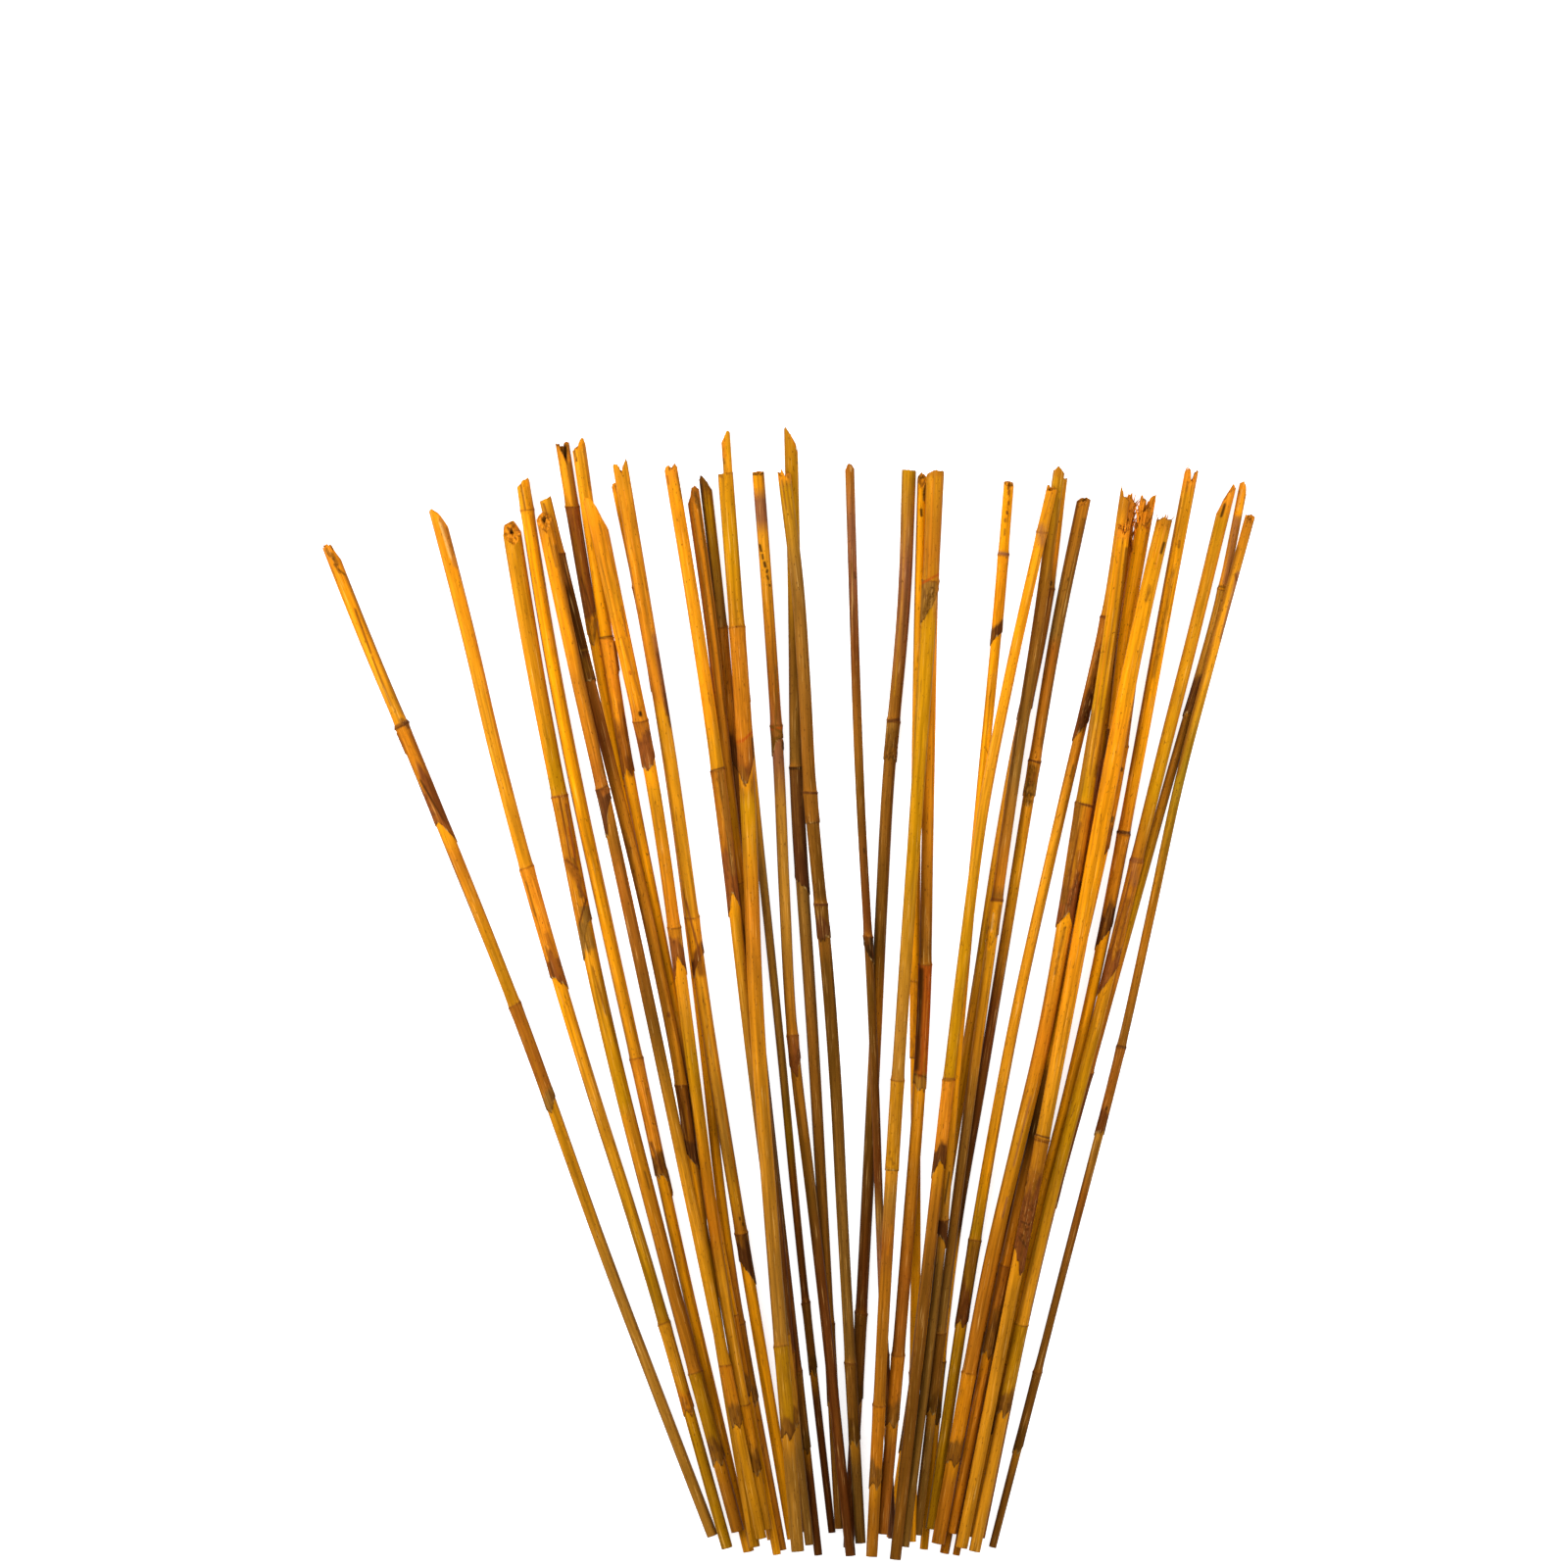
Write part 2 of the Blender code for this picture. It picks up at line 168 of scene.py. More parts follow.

# %% [markdown]
# ## The look of each reed
#
# No two reeds are alike, so each gets a row that tells what the eye sees on it, in plain
# words: its tones along the culm, how its thick end broke or was cut, how its sheaths look,
# and the marks that weather and handling left. Some marks are long soft strips down one side
# of a reed that stand for light and not for the reed's colour: most are painted shade on the
# side away from the light, and a few are painted light. Heights are in millimetres above the
# foot line. A place across the culm is a share of its half width, from -1 at the left edge to
# 1 at the right one, seen from above.

# %% Say what a row of looks holds
# Tip: the thick end. near and far are the rim's outline on the upper and on the lower side, as
#   (side, height above the cut's middle). bore is the hollow's share of the width, depth how
#   deep it is, inside the tone painted down the hollow, mostly dark as painted shade, rag how
#   high torn fibres stand, stain a tone and the length that it covers, and fringe a list of thin
#   slivers (angle, start, length, width, lean, tone) with the angle 0 at the right edge and 90
#   on top.
Tip = namedtuple("Tip", "near far bore depth inside rag stain fringe",
                 defaults=(((-1, 0), (1, 0)), None, 0.55, 6, "hollow", 0.6, (None, 0), ()))
# Sheath: tone at the node and near its hem, length of the part with the hem's tone, the hem's
#   outline as (side, height above its middle), how ragged it is, how bright the culm stayed
#   just below it, where the sheath kept the weather off, and where its long seam runs.
Sheath = namedtuple("Sheath", "tone hem_tone hem edge rag fresh seam",
                    defaults=("rust", "umber", 14, ((-1, -2), (-0.3, 1), (0.2, -3), (1, 2)), 1.2, 0.6, None))
# Mark: a stroke from one place (height, side) to another, its width in millimetres, its tone,
#   strength, softness of its edge, how far it stands out of the skin, and how much it is torn
#   into pits.
Mark = namedtuple("Mark", "start end width tone strength soft relief pits",
                  defaults=("chestnut", 0.8, 0.5, 0.0, 0.0))
# Look: tones along the culm as (height, tone), tip, sheaths from the top, and marks.
Look = namedtuple("Look", "culm tip sheaths marks", defaults=(Tip(), (), ()))

LOOKS = {
    "reed_01": Look(
        ((514, "amber"), (488, "honey"), (440, "straw"), (428, "corn"), (420, "amber"), (368, "corn"), (360, "caramel"),
         (304, "ochre"), (184, "ochre"), (144, "hay"), (10, "hay")),
        Tip(near=((-1, 2), (-0.5, 3.5), (0, 2.5), (0.4, 0.5), (0.7, -2.5), (1, -7)), far=((-1, 3), (-0.5, 4), (0, 3.5), (0.5, 1), (1, -6)),
            bore=0.3, depth=2, rag=2.2, inside="umber", stain=("amber", 7)),
        (Sheath("caramel", "russet", 32, ((-1, 4), (-0.4, 5), (0, 3), (0.3, 0), (0.7, -4), (1, -7)), 0.8, 0.8), Sheath("rust", "drab", 9, ((-1, -0.5), (-0.4, -2.5), (0, -1), (0.5, 2), (1, 5)), 0.8, 0.3)),
        (Mark((425, -1), (425.5, 1), 1.8, "bark", 0.8, 0.4, 0.4), Mark((427, 0.3), (423, 0.8), 2.4, "bark", 0.7, 0.6),
         Mark((484, 0.3), (462, 0.0), 0.6, "chestnut", 0.8), Mark((460, -0.05), (435, -0.3), 0.5, "chestnut", 0.7),
         Mark((422, -0.9), (412, -0.95), 1.4, "chestnut", 0.8, 0.4, 0.5), Mark((420, 0.8), (380, 0.8), 1.8, "russet", 0.6, 0.9), Mark((515, -0.5), (512, -0.3), 1.6, "umber", 0.8, 0.5, 0.0, 0.6),
         Mark((512, 0.0), (507, 0.2), 1.8, "umber", 0.75, 0.5, 0.0, 0.9), Mark((507, -0.1), (503, 0.1), 1.4, "umber", 0.7, 0.5, 0.0, 0.9), Mark((504, 0.2), (501, 0.7), 0.9, "sepia", 0.8),
         
         Mark((398, -0.5), (376, 0.4), 0.7, "soot", 0.8), Mark((500, 0.85), (430, 0.9), 1.6, "umber", 0.6, 0.9),
         Mark((396, 0.6), (375, 0.7), 2.6, "chestnut", 0.7, 0.8)),
    ),
    "reed_02": Look(
        ((534, "caramel"), (520, "honey"), (424, "straw"), (360, "corn"), (280, "gold"), (240, "straw"),
         (144, "olive"), (10, "olive")),
        Tip(near=((-1, 1), (-0.6, 2), (-0.2, 0), (0.3, -2), (0.7, -5), (1, -9)), bore=0.25, depth=1.5, rag=1.0,
            stain=("honey", 9)),
        (Sheath("pith", "russet", 16, ((-1, 4), (-0.5, 4), (0, 1), (0.5, -0.5), (1, -3)), 1.4, 0.8, -0.4), Sheath("straw", "amber", 10)),
        (Mark((530, 0.35), (506, 0.6), 1.6, "mauve", 0.5, 0.9), Mark((528, 0.1), (510, 0.3), 0.9, "cream", 0.6, 0.7), Mark((525, 0.75), (512, 0.85), 0.6, "chestnut", 0.6),
         Mark((470, 0.75), (390, 0.85), 1.2, "amber", 0.7, 0.8), Mark((318, 0.2), (298, 0.5), 2.4, "rust", 0.7, 0.7),
         Mark((304, -0.6), (300, -0.4), 1.6, "chestnut", 0.7)),
    ),
    "reed_03": Look(
        ((525, "ochre"), (440, "corn"), (400, "olive"), (304, "corn"), (296, "ochre"), (232, "olive"), (224, "corn"),
         (144, "tan"), (10, "tan")),
        Tip(near=((-1, -2), (-0.5, -6.5), (0, -8.5), (0.5, -7), (1, -2)),
            far=((-1, -2), (-0.8, 2.5), (-0.3, 4.5), (0.3, 4.5), (0.7, 2), (1, -2)), bore=0.22, depth=2, rag=1.2,
            stain=("amber", 3)),
        (Sheath("caramel", "drab", 14, ((-1, -1), (-0.7, 1), (-0.5, 8), (-0.1, 13), (0.3, 17), (1, 19)), 0.8, 0.5), Sheath("olive", "umber", 10)),
        (Mark((389, -1), (388, 1), 0.8, "russet", 0.6, 0.3),
         Mark((388, 0.0), (356, -0.1), 0.9, "chestnut", 0.9), Mark((372, 0.4), (350, 0.45), 0.5, "ember", 0.8),
         Mark((322, -0.5), (312, -0.2), 4.0, "drab", 0.8, 0.6),
         Mark((356, 0.2), (338, 0.3), 2.6, "umber", 0.8, 0.6, 0.0, 0.6), Mark((331, 0.1), (312, 0.5), 2.6, "drab", 0.8, 0.5),
         Mark((384, 0.6), (356, 0.5), 0.9, "russet", 0.9), Mark((356, -0.6), (345, 0.4), 3.6, "rust", 0.8, 0.6, 0.0, 0.3),
         Mark((357, -0.7), (351, 0.6), 0.7, "chestnut", 0.9), Mark((335.5, 0.8), (324, -0.6), 0.8, "bark", 0.9, 0.3),
         Mark((324, -0.6), (309, -0.1), 0.7, "sepia", 0.8), Mark((344, 0.2), (336, 0.7), 1.0, "russet", 0.8),
         Mark((302, -0.1), (277, 0.3), 0.5, "chestnut", 0.6), Mark((197, 0.3), (188, 0.35), 0.5, "sepia", 0.7),
         Mark((500, -0.85), (400, -0.85), 1.6, "honey", 0.7, 0.8)),
    ),
    "reed_04": Look(
        ((549, "corn"), (520, "gold"), (352, "gold"), (256, "corn"), (144, "gold"), (10, "gold")),
        Tip(near=((-1, -3), (-0.4, -1), (0, 0.5), (0.6, 0.5), (0.9, 1.5), (1, 0)), bore=0.4, depth=4, rag=0.8,
            stain=("honey", 5)),
        (None, Sheath("pith", "umber", 12, ((-1, 1), (-0.5, -1), (0, 0), (0.5, -2), (0.85, -4), (1, -11)), 2.0, 0.4)),
        (Mark((548, -0.35), (535, -0.2), 0.9, "umber", 0.9, 0.4, -0.25), Mark((546, 0.6), (536, 0.55), 0.6, "rust", 0.5),
         Mark((532, 0.4), (460, 0.5), 0.6, "amber", 0.5), Mark((212, -0.5), (197, 0.3), 1.4, "chestnut", 0.8, 0.5),
         Mark((197, 0.8), (186, 0.95), 1.6, "umber", 0.8, 0.5, 0.4)),
    ),
    "reed_05": Look(
        ((532, "tan"), (512, "honey"), (464, "honey"), (448, "tan"), (416, "caramel"), (400, "rust"), (368, "umber"),
         (344, "rust"), (272, "sepia"), (176, "straw"), (144, "ochre"), (10, "ochre")),
        Tip(near=((-1, -3), (-0.5, -7), (0, -9.5), (0.5, -7), (1, -3)), far=((-1, -2), (-0.5, 1), (0, 1.5), (0.5, 1), (1, -2)),
            bore=0.34, depth=8, rag=1.2, inside="soot", stain=("honey", 4)),
        (Sheath("russet", "bark", 22, ((-1, -1), (-0.6, 0), (-0.2, 8), (0.3, 14), (1, 18)), 0.7, 0.2), Sheath("amber", "umber", 10)),
        (Mark((392, -1), (393.5, 1), 0.9, "bark", 0.7, 0.3),
         # The long umber strip down the right side is painted shade of that side.
         Mark((515, 0.8), (400, 0.85), 2.4, "umber", 0.75, 0.9), Mark((520, 0.2), (505, 0.3), 0.5, "umber", 0.7),
         Mark((510, -0.3), (420, -0.3), 0.5, "amber", 0.6)),
    ),
    "reed_06": Look(
        ((540, "ochre"), (520, "tan"), (416, "chestnut"), (384, "tan"), (280, "tan"), (184, "gold"), (152, "ochre"),
         (10, "ochre")),
        Tip(near=((-1, -0.5), (1, 1)), bore=0.5, depth=3, rag=0.5),
        (Sheath("bark", "sepia", 14, ((-1, 0), (1, 0)), 1.6, 0.0), Sheath("chestnut", "bark", 12, ((-1, 9), (0, 3), (0.5, 1), (1, -2)), 0.8, 0.5)),
        (Mark((492, 0.0), (464, 0.0), 8.0, "hollow", 0.8, 0.8), Mark((463, -1), (463, 1), 0.8, "sepia", 0.8, 0.3),
         Mark((538, -0.4), (532, -0.3), 0.6, "chestnut", 0.8), Mark((278, 0.1), (277, 0.1), 1.6, "chestnut", 0.9),
         Mark((200, 0.7), (160, 0.8), 2.0, "umber", 0.7, 0.8)),
    ),
    "reed_07": Look(
        ((569, "caramel"), (558, "corn"), (520, "corn"), (472, "corn"), (464, "gold"), (10, "gold")),
        Tip(near=((-1, 0), (-0.5, -2.5), (-0.1, -7), (0.25, -12), (0.5, -9), (0.8, -1), (1, 0)),
            far=((-1, 0), (-0.6, 0), (-0.2, -2), (0.1, -2), (0.3, 0.5), (0.8, 0.5), (1, -0.5)),
            bore=0.78, depth=10, rag=1.4, inside="soot"),
        (Sheath("russet", "straw", 7, ((-1, -3), (-0.6, -8), (-0.3, -10), (0.2, -4), (0.6, 0), (1, 4)), 0.5, 0.6), Sheath("sepia", "umber", 14)),
        (Mark((558, 0.5), (537, 0.6), 2.4, "umber", 0.8, 0.8), Mark((481, -0.9), (483, 0.9), 0.8, "russet", 0.8),
         Mark((478, -0.3), (468, -0.4), 4.0, "caramel", 0.4, 0.3, 0.0, 0.6), Mark((479, 0.6), (469, 0.0), 1.0, "sepia", 0.7, 0.6), Mark((500, -0.4), (480, 0.5), 0.6, "soot", 0.5)),
    ),
    "reed_08": Look(
        ((569, "straw"), (520, "gold"), (280, "gold"), (240, "mauve"), (152, "gold"), (10, "gold")),
        Tip(near=((-1, -3.5), (-0.4, -3.5), (-0.1, -2), (0.3, 1), (0.8, 2.5), (1, -1)), bore=0.5, depth=5, rag=1.0,
            fringe=((20, 0, 5, 0.6, 0.5, "amber"),), stain=("honey", 4)),
        (Sheath("pith", "rust", 26, ((-1, -2), (-0.6, 1), (-0.2, 4), (0.1, 3), (0.5, 0), (1, 3)), 2.2, 0.8), Sheath("amber", "umber", 10)),
        (Mark((470, -1), (470, 1), 0.9, "sepia", 0.8, 0.3),
         Mark((566, -0.7), (560, -0.6), 0.8, "umber", 0.8, 0.5, 0.0, 0.8), Mark((568, 0.75), (545, 0.8), 0.9, "rust", 0.6),
         Mark((466, 0.9), (453, 0.9), 2.6, "rust", 0.8, 0.5, 0.9), Mark((435, 0.4), (405, 0.5), 2.4, "rust", 0.6, 0.8),
         Mark((408, 0.2), (400, 0.3), 2.8, "chestnut", 0.7, 0.6)),
    ),
    "reed_09": Look(
        ((534, "amber"), (488, "corn"), (472, "honey"), (440, "honey"), (432, "amber"), (400, "honey"),
         (392, "ochre"), (328, "amber"), (280, "straw"), (256, "olive"), (168, "amber"), (144, "straw"),
         (10, "straw")),
        Tip(near=((-1, 5), (-0.7, 7), (-0.3, 6.5), (0.2, 2), (0.6, -5), (1, -11)), bore=0.2, depth=1, rag=0.5,
            stain=("honey", 12)),
        (Sheath("rust", "russet", 20, ((-1, 3), (-0.4, 0.5), (0, 1), (0.6, 3), (1, 7)), 0.9, 0.8), Sheath("tan", "russet", 20, ((-1, 0), (-0.7, 3), (-0.4, 10), (-0.1, 13), (0.3, 9), (0.8, 6), (1, 3)), 1.0, 0.9),
         Sheath("honey", "umber", 10)),
        (Mark((431, 0.2), (430, 0.2), 1.7, "soot", 0.98, 0.4, -0.2), Mark((485, 0.75), (470, 0.6), 0.5, "rust", 0.8),
         Mark((538, 0.2), (531, 0.5), 0.5, "amber", 0.8), Mark((527, 0.2), (523, 0.25), 0.6, "umber", 0.7),
         Mark((510, -0.2), (470, -0.1), 0.5, "amber", 0.7), Mark((470, 0.0), (440, 0.6), 0.5, "rust", 0.6),
         Mark((452, 0.0), (451, 0.0), 1.2, "ember", 0.7)),
    ),
    "reed_10": Look(
        ((556, "corn"), (440, "caramel"), (432, "ochre"), (328, "straw"), (272, "straw"), (216, "hay"),
         (184, "ochre"), (168, "tan"), (144, "gold"), (10, "gold")),
        Tip(near=((-1, 1), (-0.8, 2.5), (-0.3, 1.5), (0, -4), (0.3, -1), (0.6, 2.5), (0.9, 4), (1, 2)), bore=0.6, depth=4,
            rag=0.9, fringe=((12, 3, 7, 0.5, -0.9, "pith"),)),
        (Sheath("honey", "chestnut", 12, ((-1, 1), (-0.7, 3), (-0.2, 8), (0.3, 11), (1, 14)), 1.4, 0.7), Sheath("bark", "bark", 12, ((-1, 6), (-0.3, 2), (0.3, -2), (0.8, -6), (1, -7)), 0.9, 0.5)),
        (Mark((470, 0.75), (432, 0.8), 2.2, "mauve", 0.7, 0.9), Mark((462, 0.8), (430, 0.8), 1.8, "chestnut", 0.85, 0.7), Mark((440, 0.85), (424, 0.9), 1.2, "bark", 0.8, 0.6),
         Mark((336, -0.6), (304, 0.5), 1.0, "russet", 0.9, 0.4), Mark((308, -0.1), (299, 0.3), 4.0, "chestnut", 0.8, 0.6),
         Mark((174, 0.2), (173, 0.2), 0.9, "soot", 0.8), Mark((171, 0.5), (170, 0.5), 0.8, "soot", 0.8),
         Mark((545, -0.1), (480, -0.1), 0.6, "amber", 0.6), Mark((340, 0.6), (180, 0.7), 0.8, "amber", 0.6)),
    ),
    "reed_11": Look(
        ((548, "gold"), (160, "gold"), (144, "caramel"), (10, "caramel")),
        Tip(near=((-1, -1), (-0.7, 1), (0.5, 0.5), (1, -1)), bore=0.4, depth=3, rag=0.8, stain=("amber", 4)),
        (Sheath("honey", "tan", 16), Sheath("tan", "umber", 10)),
        (Mark((547, -0.1), (545, 0.1), 1.6, "umber", 0.8, 0.5, 0.0, 0.6), Mark((522, 0.5), (500, 0.5), 1.2, "rust", 0.6, 0.9)),
    ),
    "reed_12": Look(
        ((556, "corn"), (528, "honey"), (472, "corn"), (440, "honey"), (416, "ochre"), (328, "ochre"), (224, "drab"),
         (10, "drab")),
        Tip(near=((-1, -1), (-0.8, 0.5), (-0.2, 1), (0.2, -1), (0.7, 1.5), (1, 0)), bore=0.5, depth=3, rag=0.9,
            stain=("pith", 8)),
        (Sheath("rust", "russet", 30, ((-1, -7), (-0.6, -3), (-0.2, 5), (0.2, 4), (0.6, 0), (1, -4)), 1.0, 0.8, 0.3), Sheath("straw", "umber", 10)),
        (Mark((402, -1), (403, 1), 0.9, "bark", 0.8, 0.3),
         Mark((556, -0.2), (555, -0.2), 1.0, "sepia", 0.9), Mark((552, -0.7), (548, -0.7), 0.7, "rust", 0.8),
         Mark((552, 0.9), (540, 0.9), 1.4, "umber", 0.7), Mark((400, 0.4), (350, 0.5), 3.0, "drab", 0.5, 0.9)),
    ),
    "reed_13": Look(
        ((543, "caramel"), (512, "tan"), (400, "tan"), (376, "ochre"), (352, "amber"), (208, "sepia"),
         (152, "chestnut"), (10, "chestnut")),
        Tip(near=((-1, -6), (-0.4, -1), (0, 2.5), (0.3, 3), (0.7, 2.5), (1, 1)), bore=0.3, depth=2, rag=1.6,
            inside="sepia", stain=("rust", 6)),
        (Sheath("tan", "umber", 20), Sheath("tan", "umber", 10)),
        # The first amber strip, down the left side, is painted light, lifting that side out of the shade that its
        # neighbour casts.
        (Mark((538, -0.8), (440, -0.8), 2.0, "amber", 0.7, 0.9), Mark((538, -0.3), (420, -0.3), 0.8, "umber", 0.7), Mark((540, 0.2), (440, 0.25), 0.8, "amber", 0.8),
         Mark((540, 0.7), (430, 0.7), 0.8, "sepia", 0.7), Mark((543, 0.3), (536, 0.5), 2.0, "sepia", 0.6, 0.5, 0.0, 0.8)),
    ),
    "reed_14": Look(
        ((550, "rust"), (536, "olive"), (480, "drab"), (376, "chestnut"), (176, "sepia"), (152, "chestnut"),
         (10, "chestnut")),
        Tip(near=((-1, 0), (-0.7, 2.5), (0, 0.5), (0.5, -2.5), (1, -6)), bore=0.3, depth=2, rag=0.8, inside="sepia",
            stain=("sepia", 6)),
        (Sheath("caramel", "bark", 20, ((-1, 10), (0, 5), (1, -1)), 0.8, 0.0), Sheath("umber", "sepia", 10)),
        # The soot strip along the left edge is a painted shadow, cast there by reed_13.
        (Mark((548, -0.9), (490, -0.8), 1.4, "soot", 0.8, 0.8),),
    ),
    "reed_15": Look(
        ((573, "olive"), (552, "straw"), (400, "corn"), (352, "drab"), (240, "hay"), (216, "olive"), (192, "rust"),
         (152, "chestnut"), (10, "chestnut")),
        Tip(near=((-1, -3.5), (-0.2, 0), (0.4, 2.5), (0.8, 2.5), (1, 1)), bore=0.3, depth=2, rag=0.6, stain=("straw", 6)),
        (Sheath("tan", "umber", 14), Sheath("umber", "sepia", 10)),
        (Mark((571, -0.6), (562, -0.6), 2.2, "amber", 0.7, 0.5), Mark((561, -0.9), (559, -0.7), 1.2, "umber", 0.7)),
    ),
    "reed_16": Look(
        ((553, "ochre"), (520, "olive"), (416, "caramel"), (400, "rust"), (384, "olive"), (328, "caramel"),
         (256, "corn"), (144, "hay"), (10, "hay")),
        Tip(near=((-1, 0), (1, 0.7)), bore=0.4, depth=2, rag=0.3),
        (Sheath("caramel", "chestnut", 9, ((-1, -15), (-0.6, -20), (-0.2, -23), (0.1, -22), (0.5, -17), (1, -9)), 0.7, 0.8), Sheath("olive", "umber", 10)),
        (Mark((552.5, -0.8), (551.5, -0.5), 1.2, "umber", 0.8), Mark((553, 0.0), (552.6, 0.9), 0.5, "tan", 0.7),
         Mark((414, -0.5), (406, -0.1), 6.0, "rust", 0.65, 0.6), Mark((417, 0.6), (408, 0.6), 4.0, "rust", 0.65, 0.6), Mark((403, -0.6), (397, -0.2), 3.0, "umber", 0.6, 0.6),
         Mark((416.5, -0.95), (417, -0.2), 1.1, "ember", 0.95, 0.3), Mark((417, -0.2), (421, 0.95), 1.1, "ember", 0.95, 0.3),
         Mark((418, 0.95), (407, 0.95), 0.9, "soot", 0.7), Mark((398, -0.6), (394, -0.2), 1.0, "bark", 0.8)),
    ),
    "reed_17": Look(
        ((554, "gold"), (547, "gold"), (540, "mauve"), (530, "mauve"), (522, "straw"), (512, "straw"), (472, "tan"), (440, "rust"),
         (408, "mauve"), (384, "hay"), (312, "hay"), (272, "tan"), (184, "sepia"), (144, "chestnut"),
         (10, "chestnut")),
        Tip(near=((-1, 0), (-0.5, -1), (0, -1.3), (0.5, -1), (1, 0)), far=((-1, 0), (0, 0.5), (1, 0)), bore=0.78, depth=10,
            rag=0.3, inside="soot"),
        (Sheath("umber", "sepia", 7, ((-1, -1), (-0.7, 1), (-0.3, 6), (0.2, 8), (1, 9)), 1.2, 0.0), Sheath("russet", "chestnut", 13, ((-1, 4), (-0.3, 0), (0.1, -2), (0.5, 3), (1, 7)), 1.2, 0.0)),
        (Mark((423, -0.9), (423.5, 0.9), 1.1, "ember", 0.8, 0.3),
         Mark((553.4, -0.95), (553.0, -0.2), 0.9, "soot", 0.9, 0.6), Mark((552.9, 0.3), (553.6, 0.95), 0.8, "soot", 0.85, 0.6),
         Mark((517, -0.65), (514, -0.5), 1.0, "soot", 0.9), Mark((512, -0.35), (510, -0.3), 1.0, "soot", 0.85),
         Mark((508, -0.1), (506, 0.0), 1.3, "soot", 0.9), Mark((504, 0.3), (503, 0.2), 1.1, "soot", 0.9), Mark((501, 0.2), (499.5, 0.35), 1.0, "soot", 0.8),
         Mark((496.5, 0.5), (496, 0.55), 0.9, "soot", 0.8),
         Mark((455, 0.6), (425, -0.1), 0.6, "sepia", 0.8), Mark((424, -0.6), (421, 0.8), 1.2, "sepia", 0.8),
         Mark((416, 0.9), (413, 0.9), 1.4, "soot", 0.8, 0.5, 0.4)),
    ),
    "reed_18": Look(
        ((573, "ochre"), (528, "olive"), (464, "sepia"), (336, "drab"), (264, "umber"), (10, "umber")),
        Tip(near=((-1, 3.5), (-0.8, 4.5), (-0.2, 1), (0.4, -2.5), (0.75, -4.5), (0.9, -10), (1, -8)), bore=0.4, depth=3,
            rag=0.8, fringe=((8, -12, 8, 0.9, 0.12, "tan"),)),
        (Sheath("bark", "bark", 20, ((-1, 4), (-0.3, 2), (0.3, 0), (1, -4)), 1.6, 0.0), Sheath("umber", "sepia", 10)),
        (Mark((403, -1), (403, 1), 1.4, "soot", 0.8, 0.3),
         Mark((575, -0.2), (567, 0.6), 0.9, "amber", 0.7, 0.5, 0.0, 0.6),),
    ),
    "reed_19": Look(
        ((553, "hay"), (544, "olive"), (504, "drab"), (416, "umber"), (336, "sepia"), (312, "umber"), (304, "sepia"),
         (248, "sepia"), (144, "drab"), (10, "drab")),
        Tip(near=((-1, 0.5), (-0.85, 1), (-0.7, -3), (-0.4, 1.5), (-0.1, 1), (0.1, -2), (0.6, -1), (1, -1)), bore=0.5,
            depth=5, rag=1.4, stain=("honey", 6)),
        (Sheath("umber", "umber", 8, ((-1, 0), (1, 0)), 0.1, 0.0), Sheath("sepia", "bark", 12, ((-1, 1), (-0.5, -1), (0, 0), (1, 2)), 2.2, 0.0), Sheath("umber", "sepia", 10)),
        (Mark((391, -1), (390, 1), 1.0, "bark", 0.9, 0.3), Mark((334, -1), (333, 1), 1.0, "bark", 0.9, 0.3),
         Mark((550, -0.5), (535, -0.3), 0.6, "umber", 0.8), Mark((549, 0.2), (530, 0.3), 0.5, "umber", 0.6),
         Mark((553, 0.2), (551, 0.6), 1.0, "rust", 0.7)),
    ),
    "reed_20": Look(
        ((558, "tan"), (528, "mauve"), (464, "chestnut"), (416, "umber"), (392, "sepia"), (328, "chestnut"),
         (288, "sepia"), (192, "chestnut"), (176, "drab"), (152, "mauve"), (10, "mauve")),
        Tip(near=((-1, -3), (-0.4, 0), (0.4, 0), (1, -2.5)), bore=0.4, depth=2, rag=0.4, stain=("rust", 5)),
        (Sheath("hollow", "soot", 12, ((-1, 10), (-0.3, 5), (0.3, 2), (1, -1)), 0.7, 0.0), Sheath("umber", "sepia", 10)),
        (Mark((557, 0.2), (555, 0.3), 0.9, "cream", 0.4), Mark((508, -0.2), (500, -0.1), 0.7, "sepia", 0.7),
         Mark((503, 0.4), (500, 0.5), 0.8, "soot", 0.6), Mark((362, 0.2), (360, 0.2), 0.7, "soot", 0.7)),
    ),
    "reed_21": Look(
        ((555, "olive"), (504, "mauve"), (440, "umber"), (312, "sepia"), (272, "tan"), (216, "sepia"),
         (144, "chestnut"), (10, "chestnut")),
        Tip(near=((-1, 0.5), (1, 0)), bore=0.4, depth=2, rag=0.3),
        (Sheath("drab", "umber", 10, ((-1, 0), (0, 1), (1, 0)), 1.4, 0.0), Sheath("umber", "sepia", 10)),
        (Mark((426.5, -1), (428.5, 1), 1.5, "bark", 0.9, 0.3),
         Mark((540, -0.4), (440, -0.3), 0.9, "olive", 0.35, 0.9), Mark((420, 0.0), (411, 0.1), 6.0, "sepia", 0.6, 0.8, 0.0, 0.8),),
    ),
    "reed_22": Look(
        ((553, "gold"), (496, "gold"), (464, "ochre"), (352, "gold"), (248, "gold"), (192, "caramel"), (176, "gold"),
         (10, "gold")),
        Tip(near=((-1, -4), (-0.5, -6), (0, -8), (0.5, -6), (1, -3)), far=((-1, -2), (-0.4, 0.5), (0.1, 1), (0.5, -0.5), (1, -2)),
            bore=0.3, depth=6, rag=1.4, inside="soot", stain=("honey", 5)),
        (Sheath("honey", "honey", 14, ((-1, 0), (1, 0)), 0.3, 0.2), Sheath("amber", "umber", 10)),
